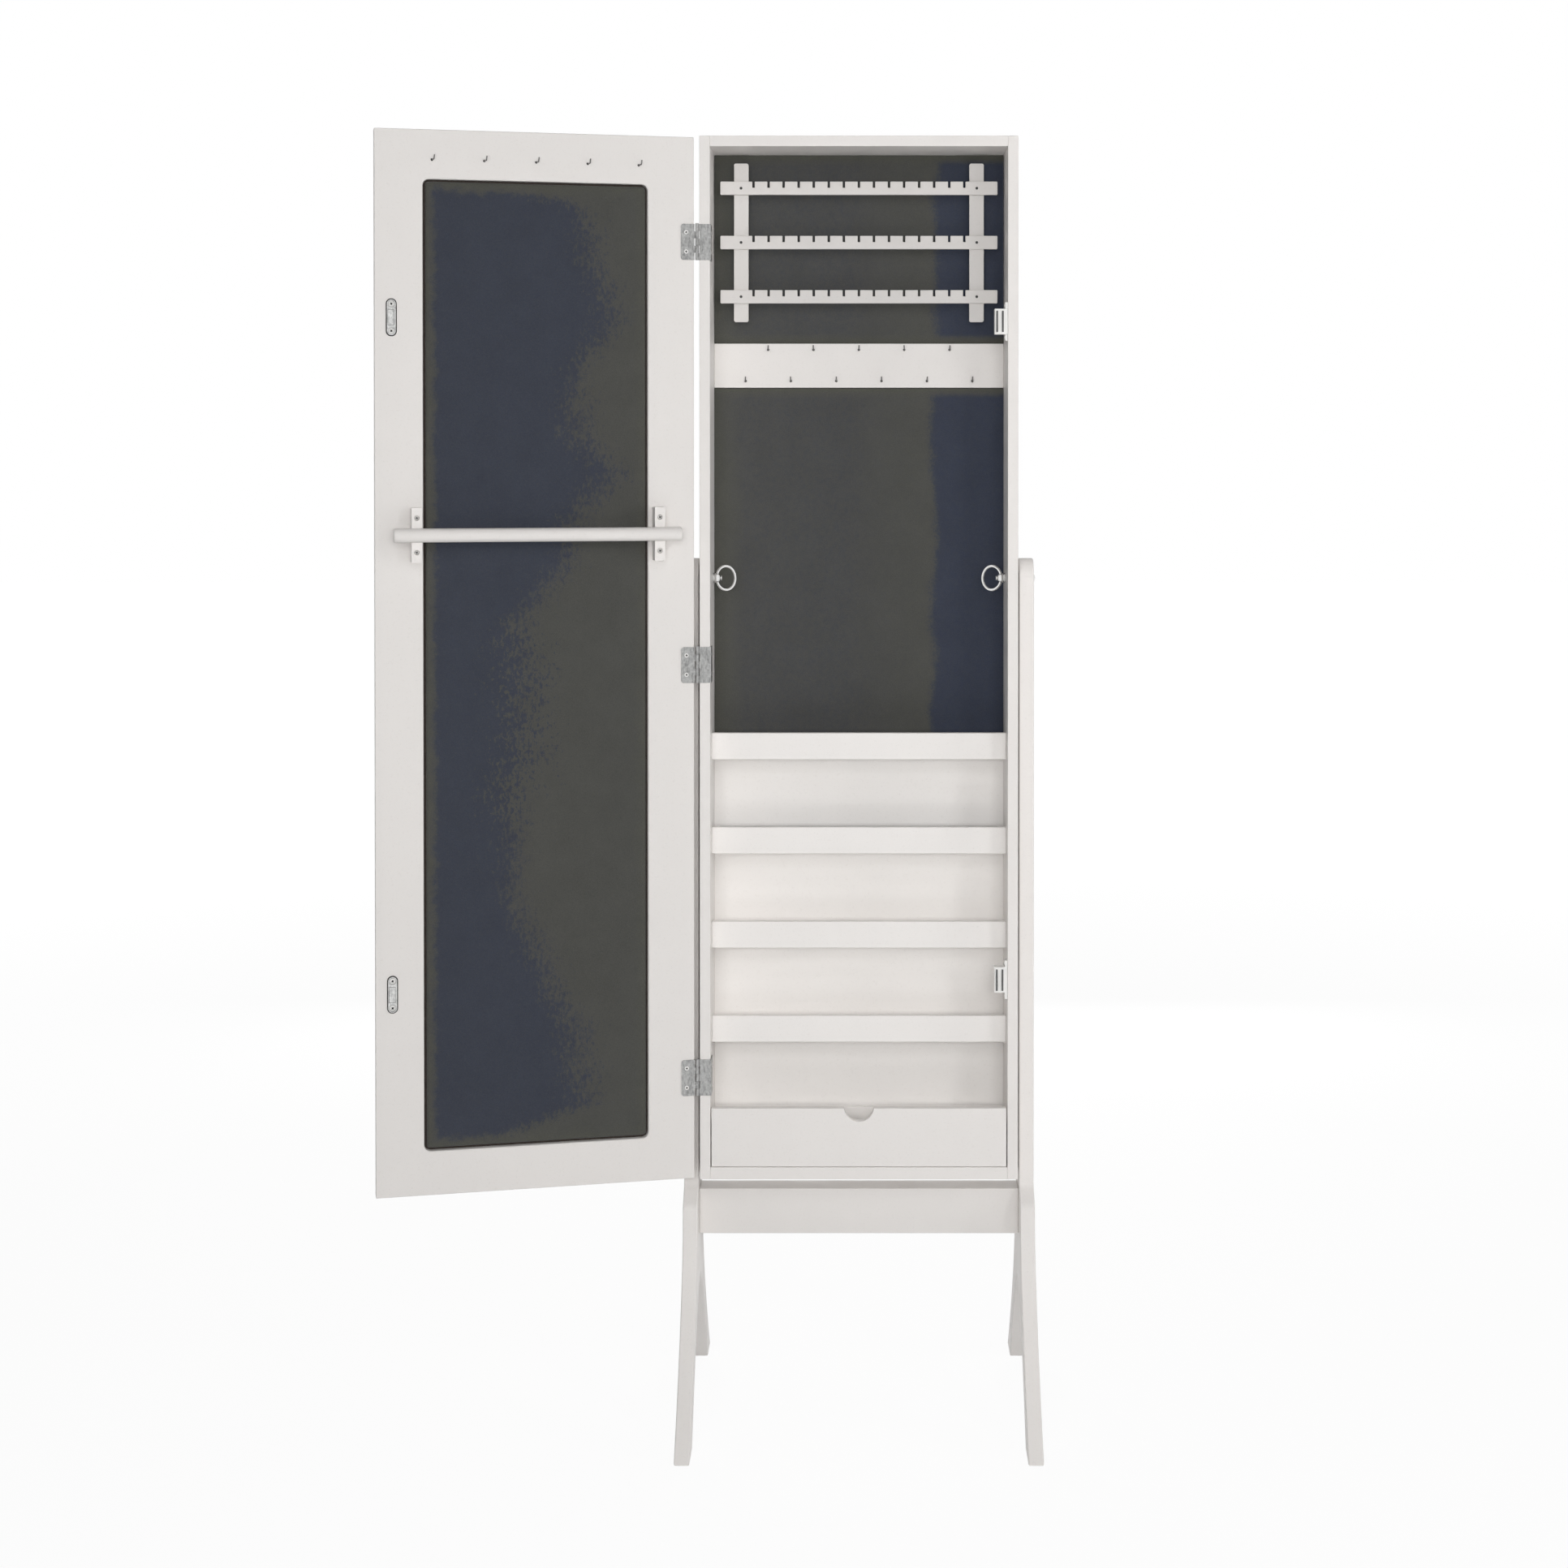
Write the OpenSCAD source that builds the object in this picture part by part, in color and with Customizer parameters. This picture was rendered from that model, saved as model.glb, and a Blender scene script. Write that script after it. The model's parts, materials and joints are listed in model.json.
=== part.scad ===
// Standing jewellery cabinet with a mirror on its door, hung in a tilting stand.
// Units are millimetres. Z is up, the front faces -Y, the floor is Z = 0.
// Y = 0 is the plane of the cabinet's front edges, X = 0 is midway between the side frames.
// Everything is drawn in the photographed pose: cabinet plumb, door open, tray pushed in.

/* [Cabinet] */
// width over the two side walls
cab_w = 363; // [320:1:420]
// height of the cabinet box
cab_h = 1190; // [1100:5:1250]
// depth from the front edges to the back of the back panel
cab_d = 90; // [80:1:120]
// height of the cabinet's underside above the floor
cab_z = 270; // [240:5:300]
// thickness of side walls and top board
board_t = 12; // [10:0.5:16]
// thickness of the bottom board
bottom_t = 14; // [10:0.5:18]
// thickness of the back panel
back_t = 3; // [2.5:0.5:5]

/* [Inside] */
// thickness of the velvet covered boards
velvet_t = 3.5; // [2:0.5:6]
// drop from the cabinet's top to the hook board's upper edge
hook_drop = 232.5; // [200:0.5:260]
// height of the hook board
hook_board_h = 51.5; // [40:0.5:70]
// thickness of the hook board
hook_board_t = 8; // [6:0.5:12]
// distance of the outermost necklace hooks from the walls
hook_end = 37; // [30:0.5:50]
// height of a shelf's front lip
lip_h = 30.5; // [20:0.5:40]
// thickness of a shelf's front lip
lip_t = 9; // [6:0.5:12]
// distance of the lips behind the cabinet's front edges
lip_set = 29; // [25:1:40]
// thickness of a shelf
shelf_t = 9; // [6:0.5:12]
// height from one shelf to the next
shelf_pitch = 108.7; // [95:0.1:110]
// top of the bottom board to the underside of the lowest shelf
low_shelf = 136.5; // [125:0.5:150]
// height of the ring cushion above its shelf
cushion_h = 16.5; // [15:0.5:28]

/* [Earring rack] */
// gap between an earring bar's ends and the walls
rack_gap = 8.5; // [5:0.5:20]
// height of an earring bar
rack_bar_h = 15.4; // [12:0.1:20]
// spacing of the earring bars
rack_pitch = 63; // [55:0.5:65]
// length of bar beyond an upright's centre line
rack_reach = 24; // [18:0.5:36]
// thickness of bars and uprights
rack_t = 5; // [4:0.5:6]
// spacing of the earring notches
notch_pitch = 17.5; // [15:0.5:17.5]
// width of an earring notch
notch_w = 2.8; // [2:0.1:4]
// depth of an earring notch
notch_d = 7.2; // [5:0.1:9]

/* [Tray] */
// height of the bottom tray's front
tray_h = 67; // [50:0.5:72]
// radius of the finger notch in the tray's front
tray_notch_r = 17; // [12:0.5:20]

/* [Door] */
// distance of the door's free edge inside the cabinet's side
door_in_free = 5; // [1:0.5:6]
// distance of the door's hinged edge inside the cabinet's side
door_in_hinge = 1; // [0.5:0.5:2]
// distance of the door's ends inside the cabinet's top and underside
door_in_end = 2; // [0:0.5:5]
// distance of the outermost door hooks from the door's edges
door_hook_end = 63.1; // [58:0.1:75]
// thickness of the door frame
door_t = 18; // [16:0.5:20]
// width of the frame beside the velvet, both sides
stile_w = 53; // [40:1:60]
// width of the frame above the velvet
head_w = 55; // [45:1:65]
// width of the frame below the velvet
foot_w = 49; // [40:1:65]
// thickness of the outer lip that holds the mirror
mirror_lip = 5; // [4:0.5:6]
// thickness of the mirror glass
glass_t = 3; // [3:0.5:4]
// angle from closed to the photographed pose
door_rest = 167; // [120:1:178]

/* [Scarf bar] */
// diameter of the round bar
bar_d = 15.5; // [12:0.5:18]
// distance of the bar's end inside the door's hinged edge
bar_in_hinge = 17.5; // [15:0.5:25]
// distance of the bar's end inside the door's free edge
bar_in_free = 19.5; // [19:0.5:25]
// height of the bar above the floor
bar_z = 1008; // [1000:1:1060]
// distance of the bar's axis from the door's inner face
bar_off = 22; // [18:0.5:24]
// height of a bar bracket
bracket_h = 61; // [50:1:70]
// width of a bar bracket
bracket_w = 12; // [10:0.5:14]

/* [Stand] */
// height of the tilt pivot above the floor
pivot_z = 955; // [900:1:960]
// depth of the stand over its feet
stand_d = 380; // [340:5:420]
// thickness of a side frame
side_t = 17; // [15:0.5:22]
// width of an upright seen from the side
post_w = 46; // [40:1:46]
// gap between the cabinet and a side frame
side_gap = 2.5; // [2.5:0.1:4]
// length of a foot on the floor
foot_l = 47; // [35:1:60]
// height of the arch between the legs
arch_h = 150; // [110:1:165]
// height of the stand's bottom rail
rail_h = 52; // [40:1:60]
// thickness of the bottom rail
rail_t = 33; // [18:0.5:36]
// gap between the rail and the cabinet above it
rail_gap = 18.5; // [15:0.5:30]

/* [Fittings] */
// length of a hinge
hinge_l = 41; // [35:1:50]
// thickness of a hinge leaf
leaf_t = 1.2; // [1:0.1:1.4]
// diameter of a hinge pin
pin_d = 2; // [1.8:0.1:2.2]
// diameter of the pivot bolts
bolt_d = 8; // [6:0.5:8]
// outer width of the thumb rings
ring_w = 25; // [20:0.5:28]
// outer height of the thumb rings
ring_h = 31; // [28.5:0.5:34]
// thickness of the thumb ring's wire
ring_wire = 3.5; // [2.5:0.1:4]

/* [Hidden] */
$fn = 48;
eps = 0.01;
fit = 0.1;                               // diameter allowance of a running fit
clear = 0.3;                             // clearance between bodies that only rest together
wall_d = cab_d - back_t;                 // depth of walls, top and bottom
in_w = cab_w - 2 * board_t;              // clear width inside
top_z = cab_z + cab_h;                   // cabinet top
floor_z = cab_z + bottom_t;              // upper face of the bottom board
ceil_z = top_z - board_t;                // underside of the top board
pivot_y = cab_d / 2;
velvet_y = wall_d - velvet_t;            // front of the velvet panels
hook_top = top_z - hook_drop;
hook_low = hook_top - hook_board_h;
shelf_z = [for (i = [0 : 3]) floor_z + low_shelf + i * shelf_pitch];
shelf_back = wall_d;

side_x = cab_w / 2 + side_gap;           // inner face of a side frame
post_r = post_w / 2;
sleeve_r = bolt_d / 2 + 2;               // sleeve nut in the upright
rail_top = cab_z - rail_gap;
rail_low = rail_top - rail_h;
knee_top = cab_z - 8;                    // legs reach full width below the open door
knee_low = knee_top - 28;
knee_r = post_r + 24;
sabre_top = knee_low - 18;

hinge_gap = 3;                           // door face to cabinet edge when closed
knuckle_r = pin_d / 2 + 1.1;
axis_x = -cab_w / 2 - knuckle_r - clear; // hinge line stands clear of the wall
axis_y = -hinge_gap / 2;
door_x0 = -cab_w / 2 + door_in_hinge;
door_x1 = cab_w / 2 - door_in_free;
door_y1 = -hinge_gap;                    // inner face
door_y0 = door_y1 - door_t;              // outer face
door_z0 = cab_z + door_in_end;
door_z1 = top_z - door_in_end;
open_z0 = door_z0 + foot_w;
open_z1 = door_z1 - head_w;
open_r = 7;
lip_in = 5;                              // how far the outer lip covers the glass
backing_t = 2.5;
pad_gap = 0.6;                           // between the pad and the frame round it
pad_rim = 1.2;                           // pad's rim below the frame's inner face
pad_edge = 4.5;                          // width of the pad's rounded edge
pad_crown = 2.4;                         // rise from the rim to the middle
hinge_end_low = 117;                     // middle of the low hinge above the underside
hinge_end_high = 121;                    // middle of the high hinge below the top
hinge_drop = 5;                          // middle hinge below the middle of the other two
hinge_zs = [cab_z + hinge_end_low,
  (cab_z + hinge_end_low + top_z - hinge_end_high) / 2 - hinge_drop, top_z - hinge_end_high];
catch_end_low = 228;
catch_end_high = 211;
catch_zs = [cab_z + catch_end_low, top_z - catch_end_high];
hook_rows = [5, 6];
hook_pitch = (in_w - 2 * hook_end) / (hook_rows[1] - 1);
door_hooks_n = 5;
door_hook_pitch = (door_x1 - door_x0 - 2 * door_hook_end) / (door_hooks_n - 1);

rack_off = 10.5;                         // uprights stand this far off the velvet
rack_drop = 33;                          // top bar's upper edge below the top board
rack_end = 21.5;                         // uprights run this far past the bars
rack_post_w = 17;
rack_y1 = velvet_y - rack_off;
rack_y0 = rack_y1 - rack_t;
rack_bar_l = in_w - 2 * rack_gap;
rack_post_x = rack_bar_l - 2 * rack_reach;
rack_zs = [for (i = [0 : 2]) ceil_z - rack_drop - rack_bar_h - (2 - i) * rack_pitch];
rack_low = rack_zs[0] - rack_end;
rack_high = rack_zs[2] + rack_bar_h + rack_end;
notch_side = floor((rack_post_x / 2 - rack_post_w / 2 - notch_w) / notch_pitch);

tray_gap = 1;                            // to each side wall
tray_w = in_w - 2 * tray_gap;
tray_z0 = floor_z + clear;
tray_y0 = 0.5;
tray_face_t = 10;
tray_side_t = 8;
tray_side_drop = 17.5;                   // the tray's walls end this far below its front
tray_side_h = tray_h - tray_side_drop;
tray_notch_up = 2;                       // notch's centre above the front's upper edge
tray_back_y = wall_d - 5;

// shared shapes

// a box from one corner to the other
module span(a, b) {
  translate(a) cube([b[0] - a[0], b[1] - a[1], b[2] - a[2]]);
}

// a cylinder along X, from x0 to x1
module rod_x(r, x0, x1, y, z) {
  translate([x0, y, z]) rotate([0, 90, 0]) cylinder(r = r, h = x1 - x0);
}

// a cylinder along Y, from y0 to y1
module rod_y(r, y0, y1, x, z) {
  translate([x, y0, z]) rotate([-90, 0, 0]) cylinder(r = r, h = y1 - y0);
}

// a plate in XZ with four round corners, from y0 to y1
module soft_plate(x0, x1, z0, z1, y0, y1, r) {
  translate([0, y1, 0]) rotate([90, 0, 0]) linear_extrude(height = y1 - y0)
    soft_rect(x0, x1, z0, z1, r);
}

module soft_rect(x0, x1, z0, z1, r) {
  union() {
    translate([x0 + r, z0]) square([x1 - x0 - 2 * r, z1 - z0]);
    translate([x0, z0 + r]) square([x1 - x0, z1 - z0 - 2 * r]);
    for (x = [x0 + r, x1 - r], z = [z0 + r, z1 - r]) translate([x, z]) circle(r = r);
  }
}

// a flat headed screw that points along +Y, its head's face at y
module screw_y(x, y, z, head_r, r, len) {
  translate([x, y, z]) rotate([-90, 0, 0]) union() {
    cylinder(r1 = head_r, r2 = r, h = 2);
    cylinder(r = r, h = len);
  }
}

// the room that the same screw takes out of the boards
module screw_y_hole(x, y, z, head_r, r, len) {
  translate([x, y, z]) rotate([-90, 0, 0]) union() {
    translate([0, 0, -1]) cylinder(r = head_r, h = 1 + eps);
    cylinder(r1 = head_r, r2 = r, h = 2);
    cylinder(r = r, h = len);
  }
}

// a padded panel in XZ with round corners, flat at the back, its edge rounded and its face crowned
function corner_ring(x0, x1, z0, z1, r, d, y) =
  let (q = max(r - d, 1.5), cx = [x1 - d - q, x0 + d + q], cz = [z1 - d - q, z0 + d + q])
  [for (i = [0 : 3], j = [0 : 5]) let (a = 90 * i + 18 * j)
    [cx[i == 1 || i == 2 ? 1 : 0] + q * cos(a), y, cz[i > 1 ? 1 : 0] + q * sin(a)]];

module padded_panel(x0, x1, z0, z1, r, back_y, rim_y, edge, crown) {
  n = 24;
  half = min(x1 - x0, z1 - z0) / 2 - 3;
  drop = min(edge, rim_y - back_y - 1);
  steps = concat(
    [[0, back_y]],
    [for (a = [0 : 18 : 90]) [edge * (1 - cos(a)), rim_y - drop * (1 - sin(a))]],
    [for (t = [0.12, 0.28, 0.5, 0.75, 1])
      [edge + (half - edge) * t, rim_y + crown * (1 - pow(1 - t, 2))]]);
  rings = len(steps);
  points = concat(
    [for (s = steps) each corner_ring(x0, x1, z0, z1, r, s[0], s[1])],
    [[(x0 + x1) / 2, back_y, (z0 + z1) / 2], [(x0 + x1) / 2, rim_y + crown, (z0 + z1) / 2]]);
  sides = [for (k = [0 : rings - 2], j = [0 : n - 1])
    let (a = k * n + j, b = k * n + (j + 1) % n) each [[a, b, b + n], [a, b + n, a + n]]];
  back = [for (j = [0 : n - 1]) [(j + 1) % n, j, n * rings]];
  front = [for (j = [0 : n - 1]) [n * (rings - 1) + j, n * (rings - 1) + (j + 1) % n, n * rings + 1]];
  polyhedron(points = points, faces = concat(sides, back, front));
}

// moves a door piece from the closed pose to the photographed one
module opened() {
  translate([axis_x, axis_y, 0]) rotate([0, 0, -door_rest]) translate([-axis_x, -axis_y, 0])
    children();
}

// stand

// half the side frame's depth at height z, outside the legs
function leg_out(z) =
  z >= knee_top ? post_r :
  z >= knee_low ? post_r + (knee_r - post_r) * (1 + cos(180 * (z - knee_low) / (knee_top - knee_low))) / 2 :
  z >= sabre_top ? knee_r :
  knee_r + (stand_d / 2 - knee_r) * pow(1 - z / sabre_top, 1.55);

// half the gap between the legs at height z
function leg_in(z) = (stand_d / 2 - foot_l) * pow(1 - z / arch_h, 0.72);

leg_steps = 56;
arch_steps = 40;
front_edge = [for (i = [0 : leg_steps]) let (z = knee_top * i / leg_steps) [pivot_y - leg_out(z), z]];
rear_edge = [for (i = [leg_steps : -1 : 0]) let (z = knee_top * i / leg_steps) [pivot_y + leg_out(z), z]];
arch_rear = [for (i = [0 : arch_steps]) let (z = arch_h * (1 - pow(1 - i / arch_steps, 1.6)))
  [pivot_y + leg_in(z), z]];
arch_front = [for (i = [arch_steps - 1 : -1 : 0]) let (z = arch_h * (1 - pow(1 - i / arch_steps, 1.6)))
  [pivot_y - leg_in(z), z]];

top_arc = [for (a = [180 : -4 : 0]) [pivot_y + post_r * cos(a), pivot_z + post_r * sin(a)]];

module side_profile() {
  difference() {
    polygon(concat(front_edge, top_arc, rear_edge, arch_rear, arch_front));
    translate([pivot_y, pivot_z]) circle(r = sleeve_r);
    for (z = rail_bolt_zs) translate([pivot_y, z]) circle(r = 3.2);
    translate([pivot_y, rail_low + rail_h / 2]) circle(r = 4);
  }
}

rail_bolt_zs = [rail_low + 13, rail_top - 13];

// one side frame, inner face at X = x
module side_frame(x0) {
  translate([x0, 0, 0]) rotate([90, 0, 90]) linear_extrude(height = side_t) side_profile();
}

module side_frame_left() {
  color("WhiteSmoke") difference() {
    side_frame(-side_x - side_t);
    for (z = rail_bolt_zs) rod_x(6.2, -side_x - side_t - 1, -side_x - side_t + 3.5, pivot_y, z);
  }
}

module side_frame_right() {
  color("WhiteSmoke") difference() {
    side_frame(side_x);
    for (z = rail_bolt_zs) rod_x(6.2, side_x + side_t - 3.5, side_x + side_t + 1, pivot_y, z);
  }
}

nut_in = 26;                             // cross nuts inside the rail's ends
nut_r = 4.9;
nut_l = 12;

module bottom_rail() {
  color("Gainsboro") difference() {
    span([-side_x, pivot_y - rail_t / 2, rail_low], [side_x, pivot_y + rail_t / 2, rail_top]);
    for (s = [-1, 1]) {
      for (z = rail_bolt_zs) {
        rod_x(3.2, s > 0 ? side_x - nut_in - 8 : -side_x - 1,
          s > 0 ? side_x + 1 : -side_x + nut_in + 8, pivot_y, z);
        rod_y(nut_r + 0.1, pivot_y - nut_l / 2, pivot_y + rail_t / 2 + 1, s * (side_x - nut_in), z);
      }
      rod_x(4, s > 0 ? side_x - 16 : -side_x - 1, s > 0 ? side_x + 1 : -side_x + 16,
        pivot_y, rail_low + rail_h / 2);
    }
  }
}

// countersunk socket bolts through the side frames into the barrel nuts
module rail_bolts() {
  color("Silver") for (s = [-1, 1], z = rail_bolt_zs) mirror([s < 0 ? 1 : 0, 0, 0]) difference() {
    union() {
      rod_x(6, side_x + side_t - 3.5, side_x + side_t - 0.5, pivot_y, z);
      rod_x(3, side_x - nut_in, side_x + side_t - 3.5, pivot_y, z);
    }
    translate([side_x + side_t - 2.5, pivot_y, z]) rotate([0, 90, 0])
      cylinder(r = 2.3, h = 3, $fn = 6);
  }
}

module barrel_nuts() {
  color("Silver") for (s = [-1, 1], z = rail_bolt_zs) difference() {
    rod_y(nut_r, pivot_y - nut_l / 2, pivot_y + nut_l / 2, s * (side_x - nut_in), z);
    rod_x(3.05, s * (side_x - nut_in) - 8, s * (side_x - nut_in) + 8, pivot_y, z);
  }
}

module rail_dowels() {
  color("BurlyWood") for (s = [-1, 1])
    rod_x(3.9, s > 0 ? side_x - 15.5 : -side_x - side_t + 4,
      s > 0 ? side_x + side_t - 4 : -side_x + 15.5, pivot_y, rail_low + rail_h / 2);
}

// sleeve nuts in the uprights, each with a domed cap on the outside

cap_r = 7;                               // rim of the cap
cap_ball = 8;                            // radius of the dome
cap_sink = 5.2;                          // dome's centre, inside the upright's outer face
cap_rim = 0.8;
cap_from = asin((cap_sink + cap_rim) / cap_ball);

module pivot_cap() {
  translate([side_x, pivot_y, pivot_z]) rotate([0, 90, 0]) rotate_extrude() polygon(concat(
    [[0, side_t - 2], [bolt_d / 2 + fit / 2, side_t - 2], [bolt_d / 2 + fit / 2, 0],
     [sleeve_r, 0], [sleeve_r, side_t], [cap_r, side_t], [cap_r, side_t + cap_rim]],
    [for (i = [0 : 8]) let (a = cap_from + (90 - cap_from) * i / 8)
      [cap_ball * cos(a), side_t - cap_sink + cap_ball * sin(a)]]));
}

module pivot_caps() {
  color("Silver") for (s = [0, 1]) mirror([s, 0, 0]) pivot_cap();
}

module spacer_washers() {
  color("DimGray") for (s = [-1, 1]) mirror([s < 0 ? 1 : 0, 0, 0]) difference() {
    rod_x(10, side_x - side_gap + clear, side_x, pivot_y, pivot_z);
    rod_x(bolt_d / 2 + fit / 2, side_x - 5, side_x + 1, pivot_y, pivot_z);
  }
}

// thumb bolts: ring, boss and shank turn together

ring_a = (ring_w - ring_wire) / 2;       // half width of the ring's centre line
ring_b = (ring_h - ring_wire) / 2;       // half height of the ring's centre line
ring_end = ring_a - 2;                   // radius of the two end arcs
ring_side = (pow(ring_b - ring_end, 2) + pow(ring_a, 2) - pow(ring_end, 2)) / (2 * (ring_a - ring_end));
ring_turn = atan2(ring_b - ring_end, ring_side - ring_a);

module ring_arc(r, start, sweep) {
  rotate([0, 0, start]) rotate_extrude(angle = sweep) translate([r, 0]) circle(r = ring_wire / 2);
}

module thumb_ring() {
  rotate([90, 0, 0]) union() {
    translate([0, ring_b - ring_end, 0]) ring_arc(ring_end, ring_turn, 180 - 2 * ring_turn);
    translate([0, ring_end - ring_b, 0]) ring_arc(ring_end, 180 + ring_turn, 180 - 2 * ring_turn);
    translate([ring_a - ring_side, 0, 0]) ring_arc(ring_side, -ring_turn, 2 * ring_turn);
    translate([ring_side - ring_a, 0, 0]) ring_arc(ring_side, 180 - ring_turn, 2 * ring_turn);
  }
}

boss_r = 5.6;                            // ball that carries the ring
boss_x = in_w / 2 - 5.1;
ring_c = boss_x - ring_a;                // ring's centre; its wire passes through the ball
boss_nose = 3.4;
boss_neck = 4.6;
boss_from = asin(boss_nose / boss_r);
boss_to = 180 - asin(boss_neck / boss_r);
flange_x = in_w / 2 - clear;             // flange's face, next to the wall

// shank, flange, neck and ball are one turned piece
module turned_bolt() {
  translate([0, pivot_y, pivot_z]) rotate([0, 90, 0]) rotate_extrude() polygon(concat(
    [[0, side_x + side_t - 2.5], [bolt_d / 2, side_x + side_t - 2.5], [bolt_d / 2, flange_x],
     [6, flange_x], [6, flange_x - 1.4], [boss_neck, flange_x - 1.4]],
    [for (i = [14 : -1 : 0]) let (a = boss_from + (boss_to - boss_from) * i / 14)
      [boss_r * sin(a), boss_x - boss_r * cos(a)]],
    [[boss_nose, boss_x - boss_r - 0.8], [0, boss_x - boss_r - 0.8]]));
}

module thumb_bolt(side) {
  mirror([side < 0 ? 1 : 0, 0, 0]) union() {
    translate([ring_c, pivot_y, pivot_z]) thumb_ring();
    turned_bolt();
  }
}

module thumb_bolt_left() { color("Silver") thumb_bolt(-1); }
module thumb_bolt_right() { color("Silver") thumb_bolt(1); }

// cabinet box

module wall_blank(side) {
  x0 = side < 0 ? -cab_w / 2 : cab_w / 2 - board_t;
  difference() {
    span([x0, 0, cab_z], [x0 + board_t, wall_d, top_z]);
    rod_x(bolt_d / 2 + fit / 2, x0 - 1, x0 + board_t + 1, pivot_y, pivot_z);
  }
}

module wall_left() {
  color("WhiteSmoke") difference() {
    wall_blank(-1);
    for (z = hinge_zs, s = [-1, 1])
      rod_x(1.5, -cab_w / 2 + 3, -in_w / 2 + 1, wall_screw_y, z + s * leaf_screw);
  }
}

module wall_right() {
  color("WhiteSmoke") difference() {
    wall_blank(1);
    for (z = catch_zs, s = [-1, 1])
      rod_x(1.3, in_w / 2 - 1, cab_w / 2 - 3, catch_y, z + s * catch_screw);
  }
}

module top_board() {
  color("WhiteSmoke") span([-in_w / 2, 0, ceil_z], [in_w / 2, wall_d, top_z]);
}

module bottom_board() {
  color("WhiteSmoke") span([-in_w / 2, 0, cab_z], [in_w / 2, wall_d, floor_z]);
}

module back_panel() {
  color("WhiteSmoke") span([-cab_w / 2, wall_d, cab_z], [cab_w / 2, cab_d, top_z]);
}

// inside of the cabinet

module upper_velvet() {
  color("DarkSlateGray") difference() {
    span([-in_w / 2, velvet_y, hook_top], [in_w / 2, wall_d, ceil_z]);
    for (s = [-1, 1], z = [rack_zs[0], rack_zs[2]])
      rod_y(rack_shank_r, velvet_y - 1, wall_d + 1, s * rack_post_x / 2, z + rack_bar_h / 2);
  }
}

module lower_velvet() {
  color("DarkSlateGray") span([-in_w / 2, velvet_y, shelf_z[3] + shelf_t], [in_w / 2, wall_d, hook_low]);
}

hook_y = wall_d - hook_board_t;
hook_xs_top = [for (i = [0 : hook_rows[0] - 1]) (i - (hook_rows[0] - 1) / 2) * hook_pitch];
hook_xs_low = [for (i = [0 : hook_rows[1] - 1]) (i - (hook_rows[1] - 1) / 2) * hook_pitch];
hook_in_top = 7.2;                       // hooks' height inside the board's edges
hook_in_low = 7.8;
hook_z_top = hook_top - hook_in_top;
hook_z_low = hook_low + hook_in_low;

module hook_board() {
  color("WhiteSmoke") difference() {
    span([-in_w / 2, hook_y, hook_low], [in_w / 2, wall_d, hook_top]);
    for (x = hook_xs_top) rod_y(hook_wire, hook_y - 1, hook_y + hook_bite, x, hook_z_top);
    for (x = hook_xs_low) rod_y(hook_wire, hook_y - 1, hook_y + hook_bite, x, hook_z_low);
  }
}

hook_wire = 0.8;                         // radius of a hook's wire
hook_bite = 5;                           // length of a hook in the wood
hook_out = 9;                            // from the board to the middle of its upright end
hook_up = 5;                           // height of the end above the stem's middle
hook_bend = 1.6;                         // radius of the bend between them

// a small hook: collar on the board at y = 0, a straight stem out and an upright end
module small_hook() {
  bend_y = hook_bend - hook_out;
  tip = 0.3;
  union() {
    rod_y(hook_wire, bend_y, hook_bite, 0, 0);
    rod_y(1.4, -0.8, 0, 0, 0);
    translate([0, bend_y, hook_bend]) rotate([90, 0, 90]) rotate([0, 0, 180])
      rotate_extrude(angle = 90) translate([hook_bend, 0]) circle(r = hook_wire);
    translate([0, -hook_out, hook_bend]) cylinder(r = hook_wire, h = hook_up - hook_bend - tip);
    translate([0, -hook_out, hook_up - tip]) cylinder(r1 = hook_wire, r2 = hook_wire - tip, h = tip);
  }
}

module necklace_hooks() {
  color("Silver") union() {
    for (x = hook_xs_top) translate([x, hook_y, hook_z_top]) small_hook();
    for (x = hook_xs_low) translate([x, hook_y, hook_z_low]) small_hook();
  }
}

// earring rack

rack_head_r = 1.7;                       // heads and shanks of the rack's small screws
rack_shank_r = 1.1;
rack_head_up = 0.2;                      // heads stand this far out of the bars
rack_face = rack_y0 - rack_t - rack_head_up;

module rack_upright(side) {
  difference() {
    soft_plate(side * rack_post_x / 2 - rack_post_w / 2, side * rack_post_x / 2 + rack_post_w / 2,
      rack_low, rack_high, rack_y0, rack_y1, 2.5);
    for (z = rack_zs)
      rod_y(rack_shank_r, rack_y0 - 1, rack_y1 + 1, side * rack_post_x / 2, z + rack_bar_h / 2);
  }
}

module rack_upright_left() { color("WhiteSmoke") rack_upright(-1); }
module rack_upright_right() { color("WhiteSmoke") rack_upright(1); }

module rack_bar(z0) {
  difference() {
    soft_plate(-rack_bar_l / 2, rack_bar_l / 2, z0, z0 + rack_bar_h, rack_y0 - rack_t, rack_y0, 1.2);
    for (i = [-notch_side : notch_side]) translate([i * notch_pitch - notch_w / 2, rack_y0 - rack_t - 1,
      z0 + rack_bar_h - notch_d]) cube([notch_w, rack_t + 2, notch_d + 1]);
    for (s = [-1, 1])
      screw_y_hole(s * rack_post_x / 2, rack_face, z0 + rack_bar_h / 2, rack_head_r, rack_shank_r, 10);
  }
}

module rack_bar_top() { color("WhiteSmoke") rack_bar(rack_zs[2]); }
module rack_bar_middle() { color("WhiteSmoke") rack_bar(rack_zs[1]); }
module rack_bar_bottom() { color("WhiteSmoke") rack_bar(rack_zs[0]); }

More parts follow.
